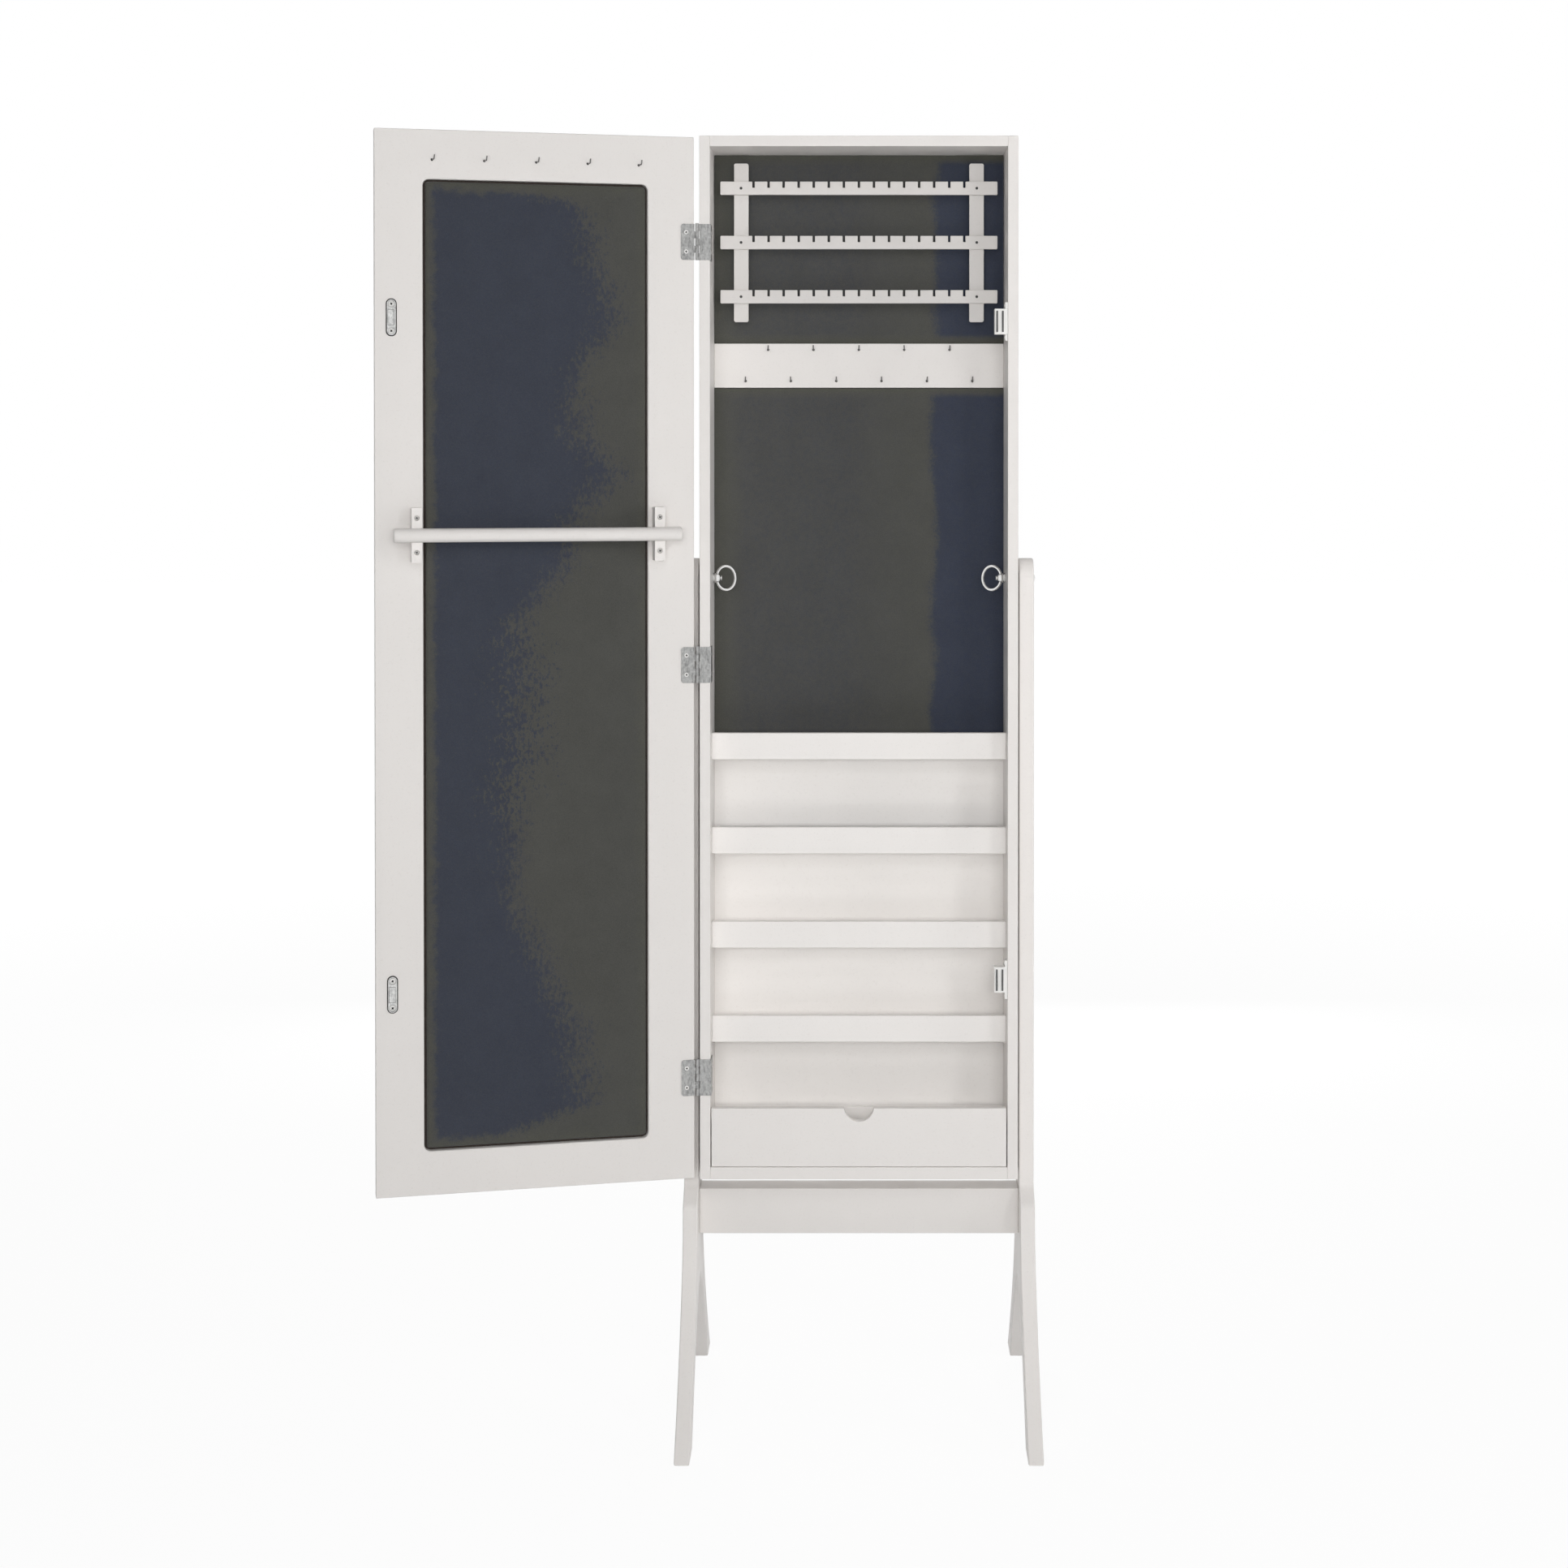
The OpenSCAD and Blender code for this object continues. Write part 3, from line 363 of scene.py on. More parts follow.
def total(tree, first, second, kind="ADD"):
    """Adds two values, or combines them in another kind of sum."""
    sums = tree.nodes.new("ShaderNodeMath")
    sums.operation = kind
    feed(tree, sums.inputs[0], first)
    feed(tree, sums.inputs[1], second)
    return sums.outputs[0]


def relief(tree, shader, height, depth, strength=1.0):
    """Raises the surface by a pattern, depth in metres."""
    bump = tree.nodes.new("ShaderNodeBump")
    bump.inputs["Strength"].default_value = strength
    bump.inputs["Distance"].default_value = depth
    tree.links.new(height, bump.inputs["Height"])
    tree.links.new(bump.outputs["Normal"], shader.inputs["Normal"])


def new_finish(name, **constants):
    """A material with its constant values set on the shader's own sockets."""
    material = bpy.data.materials.new(name)
    material.use_nodes = True
    tree = material.node_tree
    shader = tree.nodes["Principled BSDF"]
    for key, value in constants.items():
        shader.inputs[key.replace("_", " ")].default_value = value
    return material, tree, shader


def satin_paint(name, colour):
    """Sprayed satin lacquer over smooth board: faint clouding and a fine orange peel."""
    material, tree, shader = new_finish(name, Specular_IOR_Level=0.4)
    clouding = pattern(tree, 7, detail=4, rough=0.6, stretch=(1, 1, 0.35))
    light = tuple(min(1, part * 1.012) for part in colour)
    dark = tuple(part * 0.982 for part in colour)
    body = tint(tree, clouding, dark, light, 0.3, 0.7)
    specks = tint(tree, pattern(tree, 420, rough=0.6), (0.955, 0.953, 0.95), (1, 1, 1), 0.26, 0.42)
    colour_out = blend_tones(tree, 1.0, body, specks, "MULTIPLY")
    tree.links.new(colour_out, shader.inputs["Base Color"])
    gloss = level(tree, pattern(tree, 28, detail=3), 0.39, 0.50, 0.3, 0.7)
    tree.links.new(gloss, shader.inputs["Roughness"])
    peel = total(tree, pattern(tree, 620), pattern(tree, 60))
    relief(tree, shader, peel, 0.03 * MM, 0.5)
    return material


def along(tree, axis, low, high):
    """Place along an axis of the object, 0 at low and 1 at high."""
    coords = tree.nodes.new("ShaderNodeTexCoord")
    parts = tree.nodes.new("ShaderNodeSeparateXYZ")
    tree.links.new(coords.outputs["Object"], parts.inputs[0])
    return level(tree, parts.outputs[axis], 0, 1, low, high)


def rim_fade(tree, value, length, start, end):
    """0 near both ends of a stretch of this length and 1 between them."""
    first, full = start / length, end / length
    return curve(tree, value, [(0, 0), (first, 0), (full, 1), (1 - full, 1), (1 - first, 0), (1, 0)])


# The velvet's tones from lit to shaded: lighter olive, neutral, darker bluish. They are painted light and shade,
# as the pile looks bluish where shadow falls.
VELVET_LIT_TO_SHADED_TONES = ((0.0, (0.068, 0.068, 0.058)), (0.4, (0.060, 0.060, 0.058)),
                (0.75, (0.040, 0.0445, 0.058)), (1.0, (0.034, 0.040, 0.060)))


def velvet(name, lay, light):
    """Short pile. lay(tree) gives a share from 0 to 1 between the lighter olive and the darker bluish tones; light
    scales all its tones, which is painted light.
    """
    material, tree, shader = new_finish(
        name, Roughness=0.9, Specular_IOR_Level=0.1, Sheen_Weight=0.2, Sheen_Roughness=0.5,
        Sheen_Tint=(0.9, 0.93, 1.0, 1.0))
    tones = graded(tree, lay(tree), [
        (spot, tuple(part * light for part in tone)) for spot, tone in VELVET_LIT_TO_SHADED_TONES])
    fibre = pattern(tree, 900, detail=3, rough=0.7)
    shade = tint(tree, fibre, (0.80, 0.80, 0.80), (1.02, 1.02, 1.02), 0.3, 0.7)
    pile = blend_tones(tree, 1.0, tones, shade, "MULTIPLY")
    brushed = tint(tree, pattern(tree, 24, detail=5, rough=0.7), (0.90, 0.90, 0.90), (1, 1, 1), 0.3, 0.7)
    tree.links.new(blend_tones(tree, 1.0, pile, brushed, "MULTIPLY"), shader.inputs["Base Color"])
    nap = total(tree, fibre, pattern(tree, 240, detail=3, rough=0.6))
    relief(tree, shader, nap, 0.35 * MM, 0.8)
    return material


def cabinet_shadow_and_lit_rims(tree):
    """Upright bands: darker bluish at the right, as painted shadow where the right wall's shadow falls; olive and
    neutral in turns towards the left.

    The bands fade to the lighter olive at the top and bottom edge of the velvet: painted light at the rims.
    """
    edge_starts, edge_ends = 2 * MM, 12 * MM
    low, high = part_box("upper_velvet")
    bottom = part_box("lower_velvet")[1].z
    waves = pattern(tree, 16, detail=3, rough=0.6, stretch=(1, 1, 0.8))
    tufts = pattern(tree, 300, detail=3, rough=0.75)
    wander = total(tree, level(tree, waves, -0.022, 0.022, 0.3, 0.7),
                   level(tree, tufts, -0.014, 0.014, 0.25, 0.75))
    across = total(tree, along(tree, 0, low.x, high.x), wander)
    # Painted shadow: the bands turn darker bluish at the right.
    bands = curve(tree, across, [
        (0.0, 0.05), (0.04, 0.15), (0.10, 0.42), (0.45, 0.45), (0.62, 0.3), (0.735, 0.22),
        (0.775, 0.88), (1.0, 0.92)])
    # Painted light: lighter olive at the top and bottom edge.
    upper = rim_fade(tree, along(tree, 2, low.z, high.z), high.z - low.z, edge_starts, edge_ends)
    lower = along(tree, 2, bottom - edge_starts, bottom - edge_ends)
    inside = total(tree, upper, lower, "MAXIMUM")
    grain = level(tree, pattern(tree, 170, detail=4, rough=0.75), -0.12, 0.12, 0.25, 0.75)
    return total(tree, total(tree, bands, inside, "MULTIPLY"), grain)


def door_tones_and_lit_rims(tree):
    """Darker bluish towards the free edge up to a ragged border, olive and neutral beyond it, and lighter olive at
    the pad's rim, which is painted light.

    border follows the place of that border down the door, spread how far it is frayed.
    """
    edge_starts, edge_ends = 3 * MM, 15 * MM
    low, high = shut_box("door_pad")
    free, hinged = (SWING_OPEN @ Vector((x, high.y, 0)) for x in (high.x, low.x))
    across = along(tree, 0, free.x, hinged.x)
    down = along(tree, 2, high.z, low.z)
    border = curve(tree, down, [
        (0.0, 0.35), (0.03, 0.75), (0.15, 0.82), (0.20, 0.70), (0.26, 0.68), (0.30, 0.83),
        (0.34, 0.70), (0.40, 0.62), (0.46, 0.42), (0.56, 0.45), (0.68, 0.35), (0.78, 0.45),
        (0.88, 0.70), (0.96, 0.75), (1.0, 0.2)])
    spread = curve(tree, down, [(0.0, 0.5), (0.44, 0.5), (0.48, 1.0), (0.64, 1.0), (0.68, 0.5), (1.0, 0.5)])
    tufts = pattern(tree, 260, detail=3, rough=0.75, stretch=(1, 1, 0.6))
    ragged = total(tree, level(tree, tufts, -0.30, 0.30, 0.25, 0.75), spread, "MULTIPLY")
    wander = level(tree, pattern(tree, 14, detail=3, rough=0.6), -0.06, 0.06, 0.3, 0.7)
    past = total(tree, total(tree, border, across, "SUBTRACT"), total(tree, ragged, wander))
    share = level(tree, past, 0.22, 0.76, -0.08, 0.08)
    frayed = level(tree, pattern(tree, 60, detail=4, rough=0.75), -0.024, 0.024, 0.25, 0.75)
    frayed_down = total(tree, frayed, 0.3, "MULTIPLY")
    # Painted light: the tones fade to the lighter olive at the pad's rim.
    inside = total(
        tree,
        rim_fade(tree, total(tree, across, frayed), high.x - low.x, edge_starts, edge_ends),
        rim_fade(tree, total(tree, down, frayed_down), high.z - low.z, edge_starts, edge_ends),
        "MULTIPLY")
    grain = level(tree, pattern(tree, 420, detail=3, rough=0.75), -0.10, 0.10, 0.25, 0.75)
    return total(tree, total(tree, share, inside, "MULTIPLY"), grain)


def cushion_lay(tree):
    """Brushed every way in patches."""
    return level(tree, pattern(tree, 40, detail=4, rough=0.7), 0.2, 0.8, 0.3, 0.7)


def zinc_steel(name, tone, streaks):
    """Galvanised sheet: crystal patches of this tone, with streaks as dull as streaks says."""
    material, tree, shader = new_finish(name, Metallic=1.0)
    coords = tree.nodes.new("ShaderNodeTexCoord")
    crystals = tree.nodes.new("ShaderNodeTexVoronoi")
    crystals.inputs["Scale"].default_value = 420
    tree.links.new(coords.outputs["Object"], crystals.inputs["Vector"])
    grey = tree.nodes.new("ShaderNodeRGBToBW")
    tree.links.new(crystals.outputs["Color"], grey.inputs["Color"])
    low, high = tone * 0.88, tone * 1.08
    patches = tint(tree, grey.outputs["Val"], (low, low, low * 0.99), (high, high, high * 0.985), 0.2, 0.8)
    wear = pattern(tree, 420, detail=4, rough=0.7, stretch=(1, 1, 0.3))
    worn = tint(tree, wear, (streaks,) * 3, (1, 1, 1), 0.36, 0.54)
    tree.links.new(blend_tones(tree, 0.75, patches, worn, "MULTIPLY"), shader.inputs["Base Color"])
    gloss = level(tree, pattern(tree, 420, detail=3), 0.34, 0.56, 0.3, 0.7)
    tree.links.new(gloss, shader.inputs["Roughness"])
    relief(tree, shader, pattern(tree, 700, detail=3), 0.04 * MM, 0.6)
    return material


def bright_metal(name, colour, rough):
    """Plated steel: bright, with faint smears and a few dull spots."""
    material, tree, shader = new_finish(name, Metallic=1.0)
    dull = tuple(part * 0.86 for part in colour)
    plate = tint(tree, pattern(tree, 260, detail=3, rough=0.6), dull, colour, 0.3, 0.55)
    tree.links.new(plate, shader.inputs["Base Color"])
    gloss = level(tree, pattern(tree, 120, detail=3), rough * 0.8, rough * 1.5, 0.3, 0.7)
    tree.links.new(gloss, shader.inputs["Roughness"])
    relief(tree, shader, pattern(tree, 900), 0.01 * MM, 0.4)
    return material


def moulded_plastic(name, colour, rough):
    """Moulded plastic with a fine tooled grain."""
    material, tree, shader = new_finish(name, Specular_IOR_Level=0.5)
    shaded = tuple(part * 0.96 for part in colour)
    body = tint(tree, pattern(tree, 90, detail=3), shaded, colour, 0.3, 0.7)
    tree.links.new(body, shader.inputs["Base Color"])
    gloss = level(tree, pattern(tree, 500), rough * 0.85, rough * 1.2, 0.3, 0.7)
    tree.links.new(gloss, shader.inputs["Roughness"])
    relief(tree, shader, pattern(tree, 1400), 0.02 * MM, 0.5)
    return material


def silvered_glass(name):
    """Mirror glass, with faint wiping marks in its gloss."""
    material, tree, shader = new_finish(name, Metallic=1.0, Coat_Weight=1.0, Coat_Roughness=0.02)
    silver = tint(tree, pattern(tree, 3), (0.86, 0.88, 0.875), (0.89, 0.905, 0.90), 0.3, 0.7)
    tree.links.new(silver, shader.inputs["Base Color"])
    wiping = pattern(tree, 14, detail=5, rough=0.7, stretch=(1, 1, 0.3))
    tree.links.new(level(tree, wiping, 0.012, 0.045, 0.4, 0.75), shader.inputs["Roughness"])
    return material


def pressed_board(name):
    """Brown hardboard with short fibres, near-black so that the gap round the door pad shows a dark line: painted
    shade.
    """
    material, tree, shader = new_finish(name, Roughness=0.8)
    fibres = pattern(tree, 380, detail=5, rough=0.7, stretch=(1, 1, 0.5))
    tree.links.new(tint(tree, fibres, (0.030, 0.024, 0.020), (0.060, 0.048, 0.040), 0.3, 0.7),
                   shader.inputs["Base Color"])
    relief(tree, shader, fibres, 0.1 * MM, 0.7)
    return material


def beech_wood(name):
    """Pale wood with short dark flecks along the grain, which runs along X."""
    material, tree, shader = new_finish(name, Roughness=0.55)
    grain = pattern(tree, 260, detail=4, rough=0.6, stretch=(0.12, 1, 1))
    tree.links.new(tint(tree, grain, (0.46, 0.29, 0.16), (0.66, 0.46, 0.28), 0.35, 0.6),
                   shader.inputs["Base Color"])
    relief(tree, shader, grain, 0.05 * MM, 0.6)
    return material


# One white paint in lighter and darker copies, which are painted light and shade: lighter for the back panel,
# shelves, shelf fronts and tray inside, darker for the door, both rails and the rack.
PAINT = satin_paint("cabinet paint", (0.806, 0.777, 0.753))
LIT_INNER_PAINT = satin_paint("lighter inner paint", (0.86, 0.832, 0.808))
LIT_BACK_PAINT = satin_paint("lightest back paint", (0.93, 0.903, 0.877))
SHADED_DOOR_PAINT = satin_paint("shaded door paint", (0.765, 0.738, 0.715))
SHADED_RACK_PAINT = satin_paint("shaded rack paint", (0.672, 0.648, 0.628))
STAND_PAINT = satin_paint("stand paint", (0.806, 0.777, 0.753))
ZINC = zinc_steel("zinc plate", 0.47, 0.50)
PLATE_STEEL = zinc_steel("plate steel", 0.74, 0.60)
# A near-black finish for painted shade.
PAINTED_SHADE_GREY = bright_metal("painted shade grey", (0.06, 0.058, 0.056), 0.5)
CHROME = bright_metal("bright chrome", (0.80, 0.80, 0.79), 0.16)
HOOK_STEEL = bright_metal("hook steel", (0.22, 0.215, 0.21), 0.26)
SCREW_STEEL = bright_metal("screw steel", (0.80, 0.79, 0.77), 0.3)
DARK_STEEL = bright_metal("dark steel", (0.13, 0.13, 0.13), 0.4)
WHITE_PLASTIC = moulded_plastic("white plastic", (0.90, 0.888, 0.868), 0.36)
NYLON = moulded_plastic("dark nylon", (0.05, 0.05, 0.052), 0.5)
MIRROR = silvered_glass("mirror silver")
SHADE_DARKENED_HARDBOARD = pressed_board("hardboard")
BEECH = beech_wood("beech")
# One cloth, made lighter by its own factor on the cabinet, the door and the cushion: painted light.
CABINET_VELVET = velvet("cabinet velvet", cabinet_shadow_and_lit_rims, 1.45)
DOOR_VELVET = velvet("door velvet", door_tones_and_lit_rims, 1.32)
CUSHION_VELVET = velvet("cushion velvet", cushion_lay, 1.4)


# Boards of the stand and the cabinet

def board(node, name, width, paint, steps=3):
    """A painted board of the CAD shape with its edges eased."""
    piece = node_copy(node, name)
    ease(piece, width, steps)
    return finish_piece(piece, paint, "painted_board", node)


def make_stand():
    board("side_frame_left", "left_side_frame", 1.6 * MM, STAND_PAINT)
    board("side_frame_right", "right_side_frame", 1.6 * MM, STAND_PAINT)
    # The bottom rail takes the darker paint of the door: painted shade under the cabinet.
    board("bottom_rail", "rail", 1.0 * MM, SHADED_DOOR_PAINT)


def make_box():
    for side in ("left", "right"):
        board("wall_" + side, side + "_wall", 0.7 * MM, PAINT)
    board("top_board", "roof_board", 0.5 * MM, PAINT)
    board("bottom_board", "floor_board", 0.5 * MM, PAINT)
    # The back panel, shelves and shelf fronts take lighter paints: painted light inside the cabinet.
    board("back_panel", "rear_panel", 0.5 * MM, LIT_BACK_PAINT)
    board("hook_board", "necklace_board", 1.2 * MM, PAINT)
    for i in range(1, 5):
        board(f"shelf_{i}", f"shelf_board_{i}", 0.6 * MM, LIT_BACK_PAINT)
        board(f"lip_{i}", f"shelf_front_{i}", 0.9 * MM, LIT_INNER_PAINT)


def make_rack():
    # The rack takes a darker paint: painted shade.
    for side in ("left", "right"):
        board("rack_upright_" + side, side + "_rack_upright", 0.8 * MM, SHADED_RACK_PAINT)
    for row in ("top", "middle", "bottom"):
        board("rack_bar_" + row, row + "_earring_bar", 0.5 * MM, SHADED_RACK_PAINT, 2)
    board("rack_spacers", "rack_distance_rings", 0.4 * MM, SHADED_RACK_PAINT, 2)


def make_tray():
    board("tray_front", "drawer_front", 1.0 * MM, PAINT)
    # The tray's walls and base take the lightest paint: painted light inside the tray.
    board("tray_walls", "drawer_walls", 0.7 * MM, LIT_BACK_PAINT)
    board("tray_base", "drawer_base", 0.4 * MM, LIT_BACK_PAINT)


# Door

def shut_copy(node, name):
    """A copy of a door node, swung shut so that it can be worked on square."""
    piece = node_copy(node, name)
    place(piece, SWING_SHUT)
    return piece


def swing_open(piece):
    """Swings a piece made on the shut door to the open door."""
    place(piece, SWING_OPEN)
    return piece


def solids(node, shut=False):
    """The box of each separate solid of a node, from low to high and left to right."""
    mesh = bmesh.new()
    mesh.from_mesh(frame["nodes"][node].data)
    bmesh.ops.remove_doubles(mesh, verts=mesh.verts, dist=0.01 * MM)
    turn = SWING_SHUT if shut else Matrix.Identity(4)
    left, boxes = set(mesh.verts), []
    while left:
        group, waiting = set(), [left.pop()]
        while waiting:
            vert = waiting.pop()
            group.add(vert)
            for edge in vert.link_edges:
                other = edge.other_vert(vert)
                if other in left:
                    left.remove(other)
                    waiting.append(other)
        boxes.append(box_around([turn @ vert.co for vert in group]))
    mesh.free()
    return sorted(boxes, key=lambda box: (round(box[0].z, 4), round(box[0].x, 4)))


def make_door_frame():
    """The frame: small easing outside, a fuller round where it meets the pad."""
    outer_round, inner_round = 0.9 * MM, 1.8 * MM
    piece = shut_copy("door_frame", "door_surround")
    inner_face = shut_box("door_frame")[1].y
    low, high = shut_box("door_pad")
    margin = 3 * MM

    def beside_pad(edge):
        mid = (edge.verts[0].co + edge.verts[1].co) / 2
        return (all(abs(vert.co.y - inner_face) < 0.1 * MM for vert in edge.verts)
                and low.x - margin < mid.x < high.x + margin
                and low.z - margin < mid.z < high.z + margin)

    ease(piece, inner_round, 4, 0.0, beside_pad)
    ease(piece, outer_round, 3, where=lambda edge: not beside_pad(edge))
    # The door's darker paint is painted shade.
    finish_piece(swing_open(piece), SHADED_DOOR_PAINT, "painted_board", "door_frame")


def make_mirror():
    piece = shut_copy("mirror_glass", "mirror")
    ease(piece, 0.3 * MM, 2, 0.0)
    finish_piece(swing_open(piece), MIRROR, "silvered_glass", "mirror_glass")


def make_scarf_rail():
    """A round rail with softened ends in two seated brackets."""
    low, high = shut_box("scarf_bar")
    radius = (high.z - low.z) / 2
    length = high.x - low.x
    soft = 1.6 * MM
    rounding = ((0, soft), (soft * 0.3, soft * 0.45), (soft, 0))
    rings = [(inward, radius - short) for inward, short in rounding]
    rings.append((length / 2, radius))
    rings += [(length - inward, radius - short) for inward, short in reversed(rounding)]
    rail = turned("scarf_rail", rings, 56)
    lay = Matrix.Rotation(math.radians(90), 4, "Y")
    place(rail, Matrix.Translation((low.x, (low.y + high.y) / 2, (low.z + high.z) / 2)) @ lay)
    # The scarf rail takes the darker paint of the door: painted shade.
    finish_piece(swing_open(rail), SHADED_DOOR_PAINT, "painted_board", "scarf_bar")
    brackets = shut_copy("bar_brackets", "rail_brackets")
    ease(brackets, 0.7 * MM, 3)
    finish_piece(swing_open(brackets), PAINT, "painted_board", "bar_brackets")


# Padded parts

def fill_pad(piece, voxel, held, reach):
    """Covers a form in an even mesh and lets its filling swell it.

    held(co) says which points are glued down, reach(co) how far any other may move.
    """
    pick(piece)
    cover = piece.modifiers.new("even cover", "REMESH")
    cover.mode = "VOXEL"
    cover.voxel_size = voxel
    bpy.ops.object.modifier_apply(modifier=cover.name)
    rest = [vert.co.copy() for vert in piece.data.vertices]
    glued = piece.vertex_groups.new(name="glued")
    glued.add([i for i, co in enumerate(rest) if held(co)], 1.0, "REPLACE")
    filling = piece.modifiers.new("filling", "CLOTH")
    cloth = filling.settings
    cloth.quality = 6
    cloth.mass = 0.25
    cloth.tension_stiffness = 40
    cloth.compression_stiffness = 40
    cloth.bending_stiffness = 0.8
    cloth.use_pressure = True
    cloth.uniform_pressure_force = 4.0
    cloth.vertex_group_mass = glued.name
    cloth.effector_weights.gravity = 0
    filling.collision_settings.use_collision = False
    for step in range(1, 21):
        bpy.context.scene.frame_set(step)
    pick(piece)
    bpy.ops.object.modifier_apply(modifier=filling.name)
    bpy.context.scene.frame_set(1)
    for vert, start in zip(piece.data.vertices, rest):
        move = vert.co - start
        limit = 0.0 if held(start) else reach(start)
        if move.length > 0 and limit > 0:
            vert.co = start + move * (limit * (1 - math.exp(-move.length / limit)) / move.length)
        else:
            vert.co = start
    pick(piece)
    finer = piece.modifiers.new("finer cover", "SUBSURF")
    finer.levels = finer.render_levels = 1
    bpy.ops.object.modifier_apply(modifier=finer.name)
    bpy.ops.object.shade_smooth()


def make_door_pad():
    """The velvet covered pad in the door: flat foam, rounded at the rim, fuller in the middle."""
    crown, least_swell = 2.1 * MM, 0.25 * MM
    corner_round, rim_round = 6 * MM, 3 * MM
    glued_depth = 2 * MM
    inset = 0.3 * MM
    low, high = shut_box("door_pad")
    rim_y = high.y - 2.4 * MM
    piece = block("velvet_door_pad", (low.x + inset, low.y, low.z + inset),
                  (high.x - inset, rim_y, high.z - inset))
    edit(piece, "EDGE", lambda edge: abs(edge.verts[0].co.y - edge.verts[1].co.y) > MM)
    bpy.ops.mesh.bevel(offset=corner_round, segments=6, affect="EDGES")
    done()
    ease(piece, rim_round, 3, 0.0, lambda edge: all(v.co.y > rim_y - 0.1 * MM for v in edge.verts))
    half = (high.x - low.x) / 2

    def held(co):
        return co.y < low.y + glued_depth

    def reach(co):
        edge = min(co.x - low.x, high.x - co.x, co.z - low.z, high.z - co.z, half)
        rise = 1 - (1 - max(edge, 0) / half) ** 2
        return least_swell + crown * rise

    fill_pad(piece, 5 * MM, held, reach)
    finish_soft(swing_open(piece), DOOR_VELVET, "door_pad")


def finish_soft(piece, material, node):
    """Covers a padded piece in velvet and lets it stand for its CAD node."""
    piece.data.materials.clear()
    piece.data.materials.append(material)
    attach(piece, BODY_OF[node])
    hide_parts(node)


def make_ring_cushion():
    """Four soft rolls side by side; rings stand in the grooves between them."""
    rolls, groove_share = 4, 0.16
    inset, swell = 0.6 * MM, 0.9 * MM
    glued_height = 3 * MM
    piece = node_copy("ring_cushion", "velvet_ring_cushion")
    low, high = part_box("ring_cushion")
    roll = (high.y - low.y) / rolls
    middle = (low + high) / 2
    grow = Vector([1 - 2 * inset / (high[i] - low[i]) for i in range(3)])
    place(piece, Matrix.Translation(middle) @ Matrix.Diagonal((*grow, 1))
          @ Matrix.Translation(-middle))

    def held(co):
        across = (co.y - low.y) / roll
        in_groove = abs(across - round(across)) < groove_share
        return co.z < low.z + glued_height or (in_groove and co.z > high.z - roll / 2 - 2 * MM)

    fill_pad(piece, 3 * MM, held, lambda co: swell)
    finish_soft(piece, CUSHION_VELVET, "ring_cushion")


def make_velvet_boards():
    for part in ("upper", "lower"):
        piece = node_copy(part + "_velvet", part + "_velvet_board")
        ease(piece, 1.1 * MM, 3)
        finish_piece(piece, CABINET_VELVET, "grey_velvet", part + "_velvet")


# Screws

def screw(name, length, shank, head, rise, cone=0.0):
    """A screw along +Z with its head's rim at height 0, its crown at rise and its tip at -length.

    shank and head are radii. cone is how deep the head tapers below the rim.
    """
    rings = [(-length, shank * 0.3), (-length + 1.6 * shank, shank), (-cone, shank), (0, head)]
    for share in (0.3, 0.6, 0.85):
        turn = math.radians(90) * share
        rings.append((rise * math.sin(turn), head * math.cos(turn)))
    piece = turned(name, rings, 28)
    depth = 1.4 * (0.8 * rise + 0.2 * MM)
    reach, half_arm = head * 0.55, head * 0.17
    for x, y in ((reach, half_arm), (half_arm, reach)):
        cut(piece, block("cross arm", (-x, -y, rise - depth), (x, y, rise + MM)))

    # Painted shade: the faces down in the cross recess take the dark finish.
    def shaded_recess(face):
        return (face.center.z > rise - 1.08 * depth and face.center.xy.length < head * 0.6
                and (abs(face.normal.z) < 0.5 or face.center.z < rise * 0.6))

    darken(piece, shaded_recess)
    return piece


def set_screws(node, name, toward, look, material=None, shut=False):
    """Puts a screw in the place of each of the node's screws, its head facing toward."""
    turns = (20, 75, 130)
    toward = Vector(toward)
    face = Vector((0, 0, 1)).rotation_difference(toward).to_matrix().to_4x4()
    made = []
    for i, (low, high) in enumerate(solids(node, shut)):
        along = abs((high - low).dot(toward))
        spot = (low + high) / 2 + toward * (along / 2 - look["rise"])
        piece = screw(name, along - look["rise"], **look)
        spin = Matrix.Rotation(math.radians(turns[i % len(turns)]), 4, "Z")
        place(piece, Matrix.Translation(spot) @ face @ spin)
        made.append(piece)
    piece = joined(made, name)
    if shut:
        swing_open(piece)
    finish_piece(piece, material or SCREW_STEEL, "zinc_steel", node)


def make_screws():
    set_screws("rack_screws", "rack_screw_set", (0, -1, 0), {
        "shank": 1.05 * MM, "head": 1.65 * MM, "rise": 0.2 * MM, "cone": 0.6 * MM}, DARK_STEEL)
    set_screws("catch_screws", "catch_screw_set", (-1, 0, 0), {
        "shank": 1.25 * MM, "head": 2.55 * MM, "rise": 1.35 * MM})
    set_screws("hinge_wall_screws", "hinge_wall_screw_set", (1, 0, 0), {
        "shank": 1.45 * MM, "head": 2.85 * MM, "rise": 1.05 * MM})
    set_screws("bracket_screws", "bracket_screw_set", (0, 1, 0), {
        "shank": 1.55 * MM, "head": 2.75 * MM, "rise": 1.2 * MM}, shut=True)
    set_screws("door_leaf_screws", "door_leaf_screw_set", (0, 1, 0), {
        "shank": 1.45 * MM, "head": 2.4 * MM, "rise": 0.3 * MM}, shut=True)


# Hooks and thumb bolts

# Radius of a hook's wire, reach of its stem and radius of its collar.
HOOK_WIRE = 0.8 * MM
HOOK_OUT = 9.0 * MM
COLLAR = 1.4 * MM


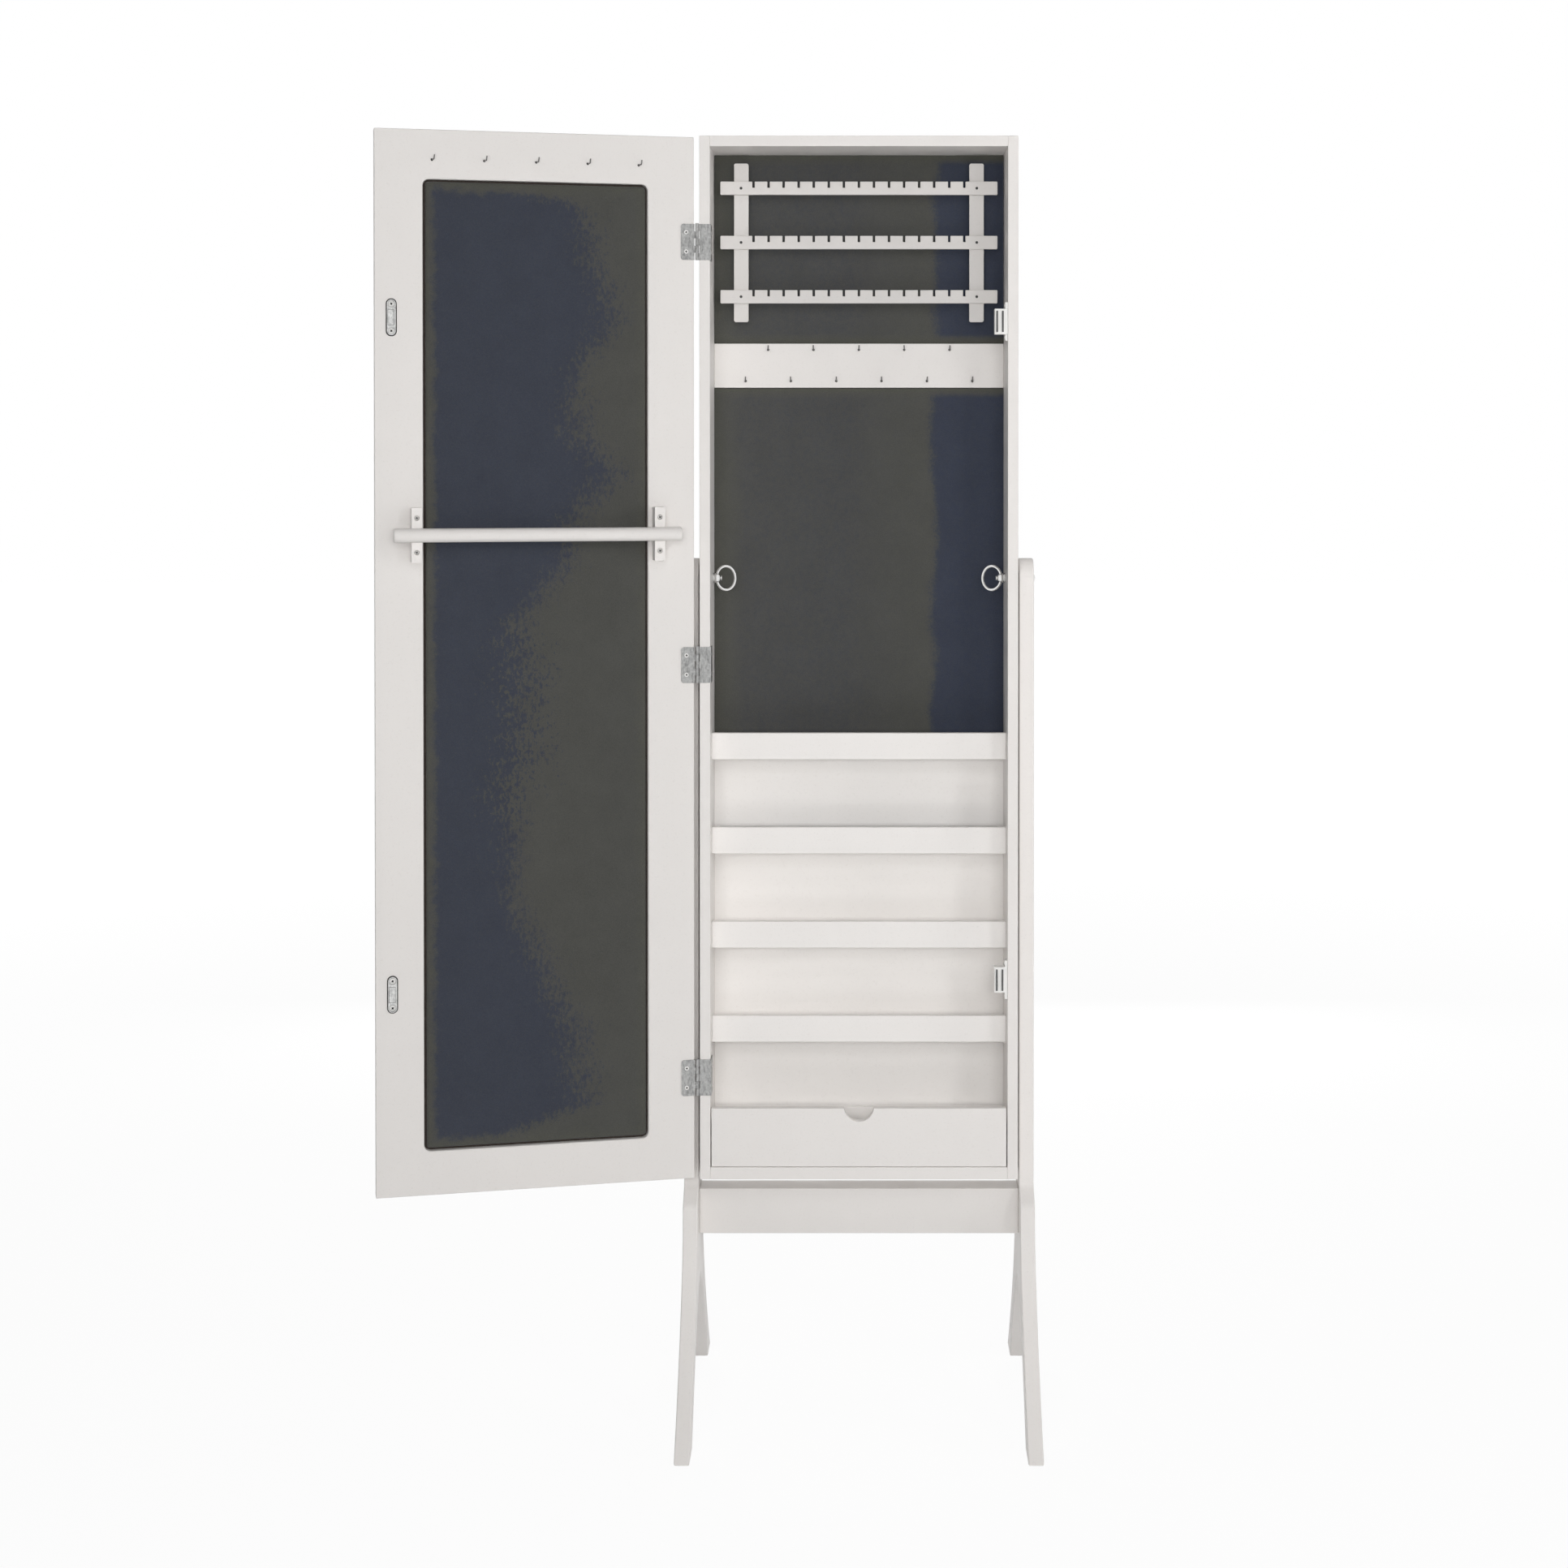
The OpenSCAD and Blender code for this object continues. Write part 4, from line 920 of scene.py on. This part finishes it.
def hook_model():
    """A hook on a board facing +Y: collar at the origin, stem out along +Y, upright end."""
    up, bend, bite = 5.0 * MM, 2.6 * MM, 5.0 * MM
    rod = wire("hook", [(0, -bite, 0), (0, HOOK_OUT - bend, 0), (0, HOOK_OUT, 0), (0, HOOK_OUT, bend),
                        (0, HOOK_OUT, up)], HOOK_WIRE, smooth=6)
    ease(rod, 0.25 * MM, 2, 0.0)
    collar = turned("collar", [(0, COLLAR - 0.2 * MM), (0.25 * MM, COLLAR), (0.55 * MM, COLLAR),
                               (0.8 * MM, COLLAR - 0.3 * MM)], 24)
    place(collar, Matrix.Rotation(math.radians(-90), 4, "X"))
    darken(rod, lambda face: False)
    # Painted shade: the collar is dark all over, for the dark spot where the stem meets the board.
    darken(collar, any_part)
    return joined([rod, collar], "hook")


def make_hooks(node, name, facing, leans, askew=0, shut=False):
    """A hook at each place of the node, each leaning a little its own way about its stem.

    facing is 1 for hooks that point along +Y and -1 for the others. askew is how far the stems
    point aside, in degrees, as hooks screwed in by hand do.
    """
    face = Matrix.Rotation(0 if facing > 0 else math.pi, 4, "Z")
    places = []
    for (low, high), lean in zip(solids(node, shut), leans):
        tip = high.y if facing > 0 else low.y
        root = Vector(((low.x + high.x) / 2, tip - facing * (HOOK_OUT + HOOK_WIRE), low.z + COLLAR))
        places.append(Matrix.Translation(root) @ Matrix.Rotation(math.radians(askew), 4, "Z")
                      @ Matrix.Rotation(math.radians(lean), 4, "Y") @ face)
    piece = copies(hook_model(), name, places)
    if shut:
        swing_open(piece)
    finish_piece(piece, HOOK_STEEL, "bright_chrome", node)


def make_thumb_bolt(node, side):
    """An oval ring on a grooved ball, with the neck, flange and shank that turn with it."""
    wall = abs(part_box("wall_right")[0].x)
    low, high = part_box("thumb_bolt_right")
    wire_r = 1.75 * MM
    ring_w, ring_h = 25 * MM, high.z - low.z
    ball, ball_r = wall - 5.1 * MM, 5.6 * MM
    groove = -3.2

    def near_ball(step, radius=None):
        """A ring of the profile at this many millimetres from the ball's middle."""
        return ball + step * MM, radius or math.sqrt(ball_r ** 2 - (step * MM) ** 2)

    rings = [near_ball(-6.35, 1.4 * MM), near_ball(-6.1, 2.8 * MM), near_ball(-4.9), near_ball(-4.1),
             near_ball(groove - 0.45), near_ball(groove - 0.25, 3.9 * MM),
             near_ball(groove + 0.25, 3.9 * MM), near_ball(groove + 0.45)]
    rings += [near_ball(step) for step in (-1.9, -1.0, 0.0, 1.0, 2.0, 3.0)]
    neck, flange = 4.5 * MM, 5.9 * MM
    rings += [(wall - 1.9 * MM, neck), (wall - 1.7 * MM, neck), (wall - 1.7 * MM, flange - 0.3 * MM),
              (wall - 1.4 * MM, flange), (wall - 0.6 * MM, flange), (wall - 0.3 * MM, flange - 0.3 * MM),
              (wall - 0.3 * MM, 4.0 * MM), (high.x, 4.0 * MM)]
    bolt = turned(node, rings, 48)
    place(bolt, Matrix.Rotation(math.radians(90), 4, "Y"))
    middle = low.x + ring_w / 2
    bends = 20
    spread = 1.008  # the wire runs a little inside the points that lead it
    half_w, half_h = spread * (ring_w / 2 - wire_r), spread * (ring_h / 2 - wire_r)
    loop = []
    for i in range(bends):
        turn = 2 * math.pi * i / bends
        loop.append((half_w * math.cos(turn), 0, half_h * math.sin(turn)))
    ring = wire("ring", loop, wire_r, closed=True, smooth=5, sides=5)
    place(ring, Matrix.Translation((middle, 0, 0)) @ Matrix.Rotation(math.radians(2), 4, "Y"))
    merge(bolt, ring)
    place(bolt, Matrix.Translation((0, PIVOT.y, PIVOT.z)))
    if side < 0:
        place(bolt, Matrix.Translation((0, PIVOT.y, 0)) @ Matrix.Rotation(math.pi, 4, "Z")
              @ Matrix.Translation((0, -PIVOT.y, 0)))
    bolt.name = node.replace("thumb_bolt", "clamp_bolt")
    finish_piece(bolt, CHROME, "bright_chrome", node)


def make_hooks_and_bolts():
    make_hooks("necklace_hooks", "necklace_hook_set", -1, (3, -4, 2, -2, 5, 1, 4, -3, 2, -5, 3))
    make_hooks("door_hooks", "door_hook_set", 1, (-7, -5, -8, -6, -7), askew=12, shut=True)
    make_thumb_bolt("thumb_bolt_left", -1)
    make_thumb_bolt("thumb_bolt_right", 1)


# Catches and strike plates

def make_catches():
    for place_name in ("upper", "lower"):
        piece = node_copy("catch_" + place_name, place_name + "_magnet_catch")
        ease(piece, 0.45 * MM, 3)
        finish_piece(piece, WHITE_PLASTIC, "white_plastic", "catch_" + place_name)


def strike_model(low, high):
    """An oblong plate with a pressed rib and a sunk screw at each end, on the shut door."""
    plate_t, edge_round = 1.4 * MM, 1.2 * MM
    rib_low, rib_high, rib_half = 3.4 * MM, 4.2 * MM, 9 * MM
    seat_r, head_r, head_rise, seat_from_mid = 4.0 * MM, 3.4 * MM, 0.7 * MM, 15 * MM
    mid = (low + high) / 2
    half_w = (high.x - low.x) / 2
    face_y = high.y - 0.2 * MM
    back_y = face_y - plate_t
    plate = block("strike plate", (low.x, back_y, low.z), (high.x, face_y, high.z))
    edit(plate, "EDGE", lambda edge: abs(edge.verts[0].co.y - edge.verts[1].co.y) > MM / 2)
    bpy.ops.mesh.bevel(offset=half_w - 0.2 * MM, segments=10, affect="EDGES")
    done()
    ease(plate, edge_round, 4, 0.0, lambda edge: all(v.co.y > face_y - 0.1 * MM for v in edge.verts))
    rib = block("rib", (mid.x - rib_low, back_y + 0.5 * MM, mid.z - rib_half),
                (mid.x + rib_high, face_y + 0.2 * MM, mid.z + rib_half))
    ease(rib, 0.6 * MM, 3, 0.0, lambda edge: all(v.co.y > face_y for v in edge.verts))
    merge(plate, rib)
    facing = Matrix.Rotation(math.radians(-90), 4, "X")
    parts = [plate]
    for end, turn in ((-1, 40), (1, 25)):
        spot = Matrix.Translation((mid.x, face_y, mid.z + end * seat_from_mid)) @ facing
        seat = turned("seat", [(-1.1 * MM, seat_r), (1.5 * MM, seat_r)])
        place(seat, spot)
        cut(plate, seat)
        head = screw("strike screw", 8 * MM, 1.25 * MM, head_r, head_rise)
        place(head, spot @ Matrix.Translation((0, 0, -head_rise))
              @ Matrix.Rotation(math.radians(turn), 4, "Z"))
        parts.append(head)
    # Painted shade: the plate's edges, rib sides and screw seats take the dark finish, a dark line round the plate
    # where shadow falls.
    darken(plate, lambda face: abs(face.normal.y) < 0.99, PLATE_STEEL)
    return joined(parts, "strike_plate_pair")


def make_strike_plates():
    pair = [strike_model(low, high) for low, high in solids("strike_plates", True)]
    finish_piece(swing_open(joined(pair, "strike_plate_pair")), PLATE_STEEL, "zinc_steel", "strike_plates")


# Carried over CAD parts that only need their finish

def dress(node, material):
    """Gives a CAD node its finish and leaves its shape."""
    shape = frame["nodes"][node].data
    shape.materials.clear()
    shape.materials.append(material)


def dress_remaining_parts():
    # The backing's near-black is painted shade in the gap round the door pad.
    dress("mirror_backing", SHADE_DARKENED_HARDBOARD)
    dress("rail_dowels", BEECH)
    dress("barrel_nuts", ZINC)
    dress("rail_bolts", SCREW_STEEL)
    dress("pivot_caps", CHROME)
    dress("spacer_washers", NYLON)
    dress("catch_plates", DARK_STEEL)
    for node in ("hinge_leaf_low", "hinge_leaf_middle", "hinge_leaf_high", "door_leaves", "hinge_pins"):
        dress(node, ZINC)


# Stage

def make_camera():
    lens = bpy.data.cameras.new("camera")
    lens.sensor_width = 36
    lens.lens = LENS
    lens.shift_x, lens.shift_y = SHIFT
    camera = bpy.data.objects.new("camera", lens)
    camera.location = EYE
    camera.rotation_euler = (math.radians(90 - EYE_DOWN), 0, 0)
    bpy.context.scene.collection.objects.link(camera)
    bpy.context.scene.camera = camera


def seen_straight(tree):
    """1 for rays that see the thing itself, in a reflection or through glass, else 0."""
    path = tree.nodes.new("ShaderNodeLightPath")
    seen = total(tree, path.outputs["Is Camera Ray"], path.outputs["Is Glossy Ray"], "MAXIMUM")
    return total(tree, seen, path.outputs["Is Transmission Ray"], "MAXIMUM")


def make_world(ambient):
    """A white backdrop that lights the object only a little."""
    world = bpy.data.worlds.new("studio")
    bpy.context.scene.world = world
    world.use_nodes = True
    tree = world.node_tree
    backdrop = tree.nodes["Background"]
    strength = level(tree, seen_straight(tree), ambient, 1.0)
    backdrop.inputs["Color"].default_value = (1, 1, 1, 1)
    tree.links.new(strength, backdrop.inputs["Strength"])


def make_floor():
    """A white floor that keeps a faint shadow of the object and fades into the backdrop.

    Its own glow rises with the distance, where the lamps no longer reach.
    """
    near, far, far_glow = 1.5, 4.0, 1.064
    glow_share = 0.94
    bpy.ops.mesh.primitive_plane_add(size=40, location=(0, 0, 0))
    floor = bpy.context.object
    floor.name = "studio_floor"
    material = bpy.data.materials.new("studio floor")
    material.use_nodes = True
    tree = material.node_tree
    tree.nodes.remove(tree.nodes["Principled BSDF"])
    paper = tree.nodes.new("ShaderNodeBsdfDiffuse")
    paper.inputs["Color"].default_value = (0.90, 0.90, 0.90, 1)
    glow = tree.nodes.new("ShaderNodeEmission")
    coords = tree.nodes.new("ShaderNodeTexCoord")
    reach = tree.nodes.new("ShaderNodeVectorMath")
    reach.operation = "LENGTH"
    tree.links.new(coords.outputs["Object"], reach.inputs[0])
    tree.links.new(level(tree, reach.outputs["Value"], 1.0, far_glow, near, far), glow.inputs["Strength"])
    mix = tree.nodes.new("ShaderNodeMixShader")
    tree.links.new(level(tree, seen_straight(tree), 0.0, glow_share), mix.inputs[0])
    tree.links.new(paper.outputs[0], mix.inputs[1])
    tree.links.new(glow.outputs[0], mix.inputs[2])
    tree.links.new(mix.outputs[0], tree.nodes["Material Output"].inputs["Surface"])
    floor.data.materials.append(material)


def make_lamp(name, spot, aim, width, height, power):
    """A rectangular soft lamp that leaves no bright patch in polished metal."""
    lamp = bpy.data.lights.new(name, "AREA")
    lamp.shape = "RECTANGLE"
    lamp.size, lamp.size_y = width, height
    lamp.energy = power
    holder = bpy.data.objects.new(name, lamp)
    holder.location = spot
    holder.rotation_euler = (Vector(aim) - Vector(spot)).to_track_quat("-Z", "Y").to_euler()
    holder.visible_glossy = False
    bpy.context.scene.collection.objects.link(holder)


def make_top_light(strength):
    """Broad light from straight above and a little behind."""
    sky = bpy.data.lights.new("top light", "SUN")
    sky.energy = strength
    sky.angle = math.radians(60)
    holder = bpy.data.objects.new("top light", sky)
    holder.rotation_euler = (math.radians(-12), 0, 0)
    holder.visible_glossy = False
    bpy.context.scene.collection.objects.link(holder)


def make_lights():
    """Strip lamps in front at three heights, two keys from the right, a fill behind the legs."""
    middle = (0, 0, 0.85)
    for name, spot, width, height, power in (
            ("strip at eye height", (0, -3.0, 1.1), 1.6, 0.5, 31.5),
            ("high strip", (0, -3.0, 1.9), 1.6, 0.5, 13.4),
            ("top strip", (0, -2.4, 2.7), 1.6, 0.5, 5.4),
            ("key lamp", (1.4, -2.1, 1.05), 0.5, 0.5, 5.4),
            ("upper key lamp", (1.6, -2.1, 2.2), 0.5, 0.5, 6.4),
            ("right lamp", (2.6, -0.8, 1.2), 0.8, 1.2, 14),
            ("left lamp", (-2.6, -0.8, 1.2), 0.8, 1.2, 4)):
        make_lamp(name, spot, middle, width, height, power)
    make_lamp("rear lamp", (0, 2.0, 0.8), (0, 0.1, 0.3), 2.0, 1.2, 24)
    make_top_light(0.29)


def make_studio():
    make_camera()
    make_world(0.05)
    make_floor()
    make_lights()
    bpy.context.scene.view_settings.view_transform = "Standard"


bpy.ops.object.select_all(action="DESELECT")
make_studio()
make_stand()
make_box()
make_rack()
make_tray()
make_door_frame()
make_mirror()
make_scarf_rail()
make_door_pad()
make_ring_cushion()
make_velvet_boards()
make_screws()
make_hooks_and_bolts()
make_catches()
make_strike_plates()
dress_remaining_parts()
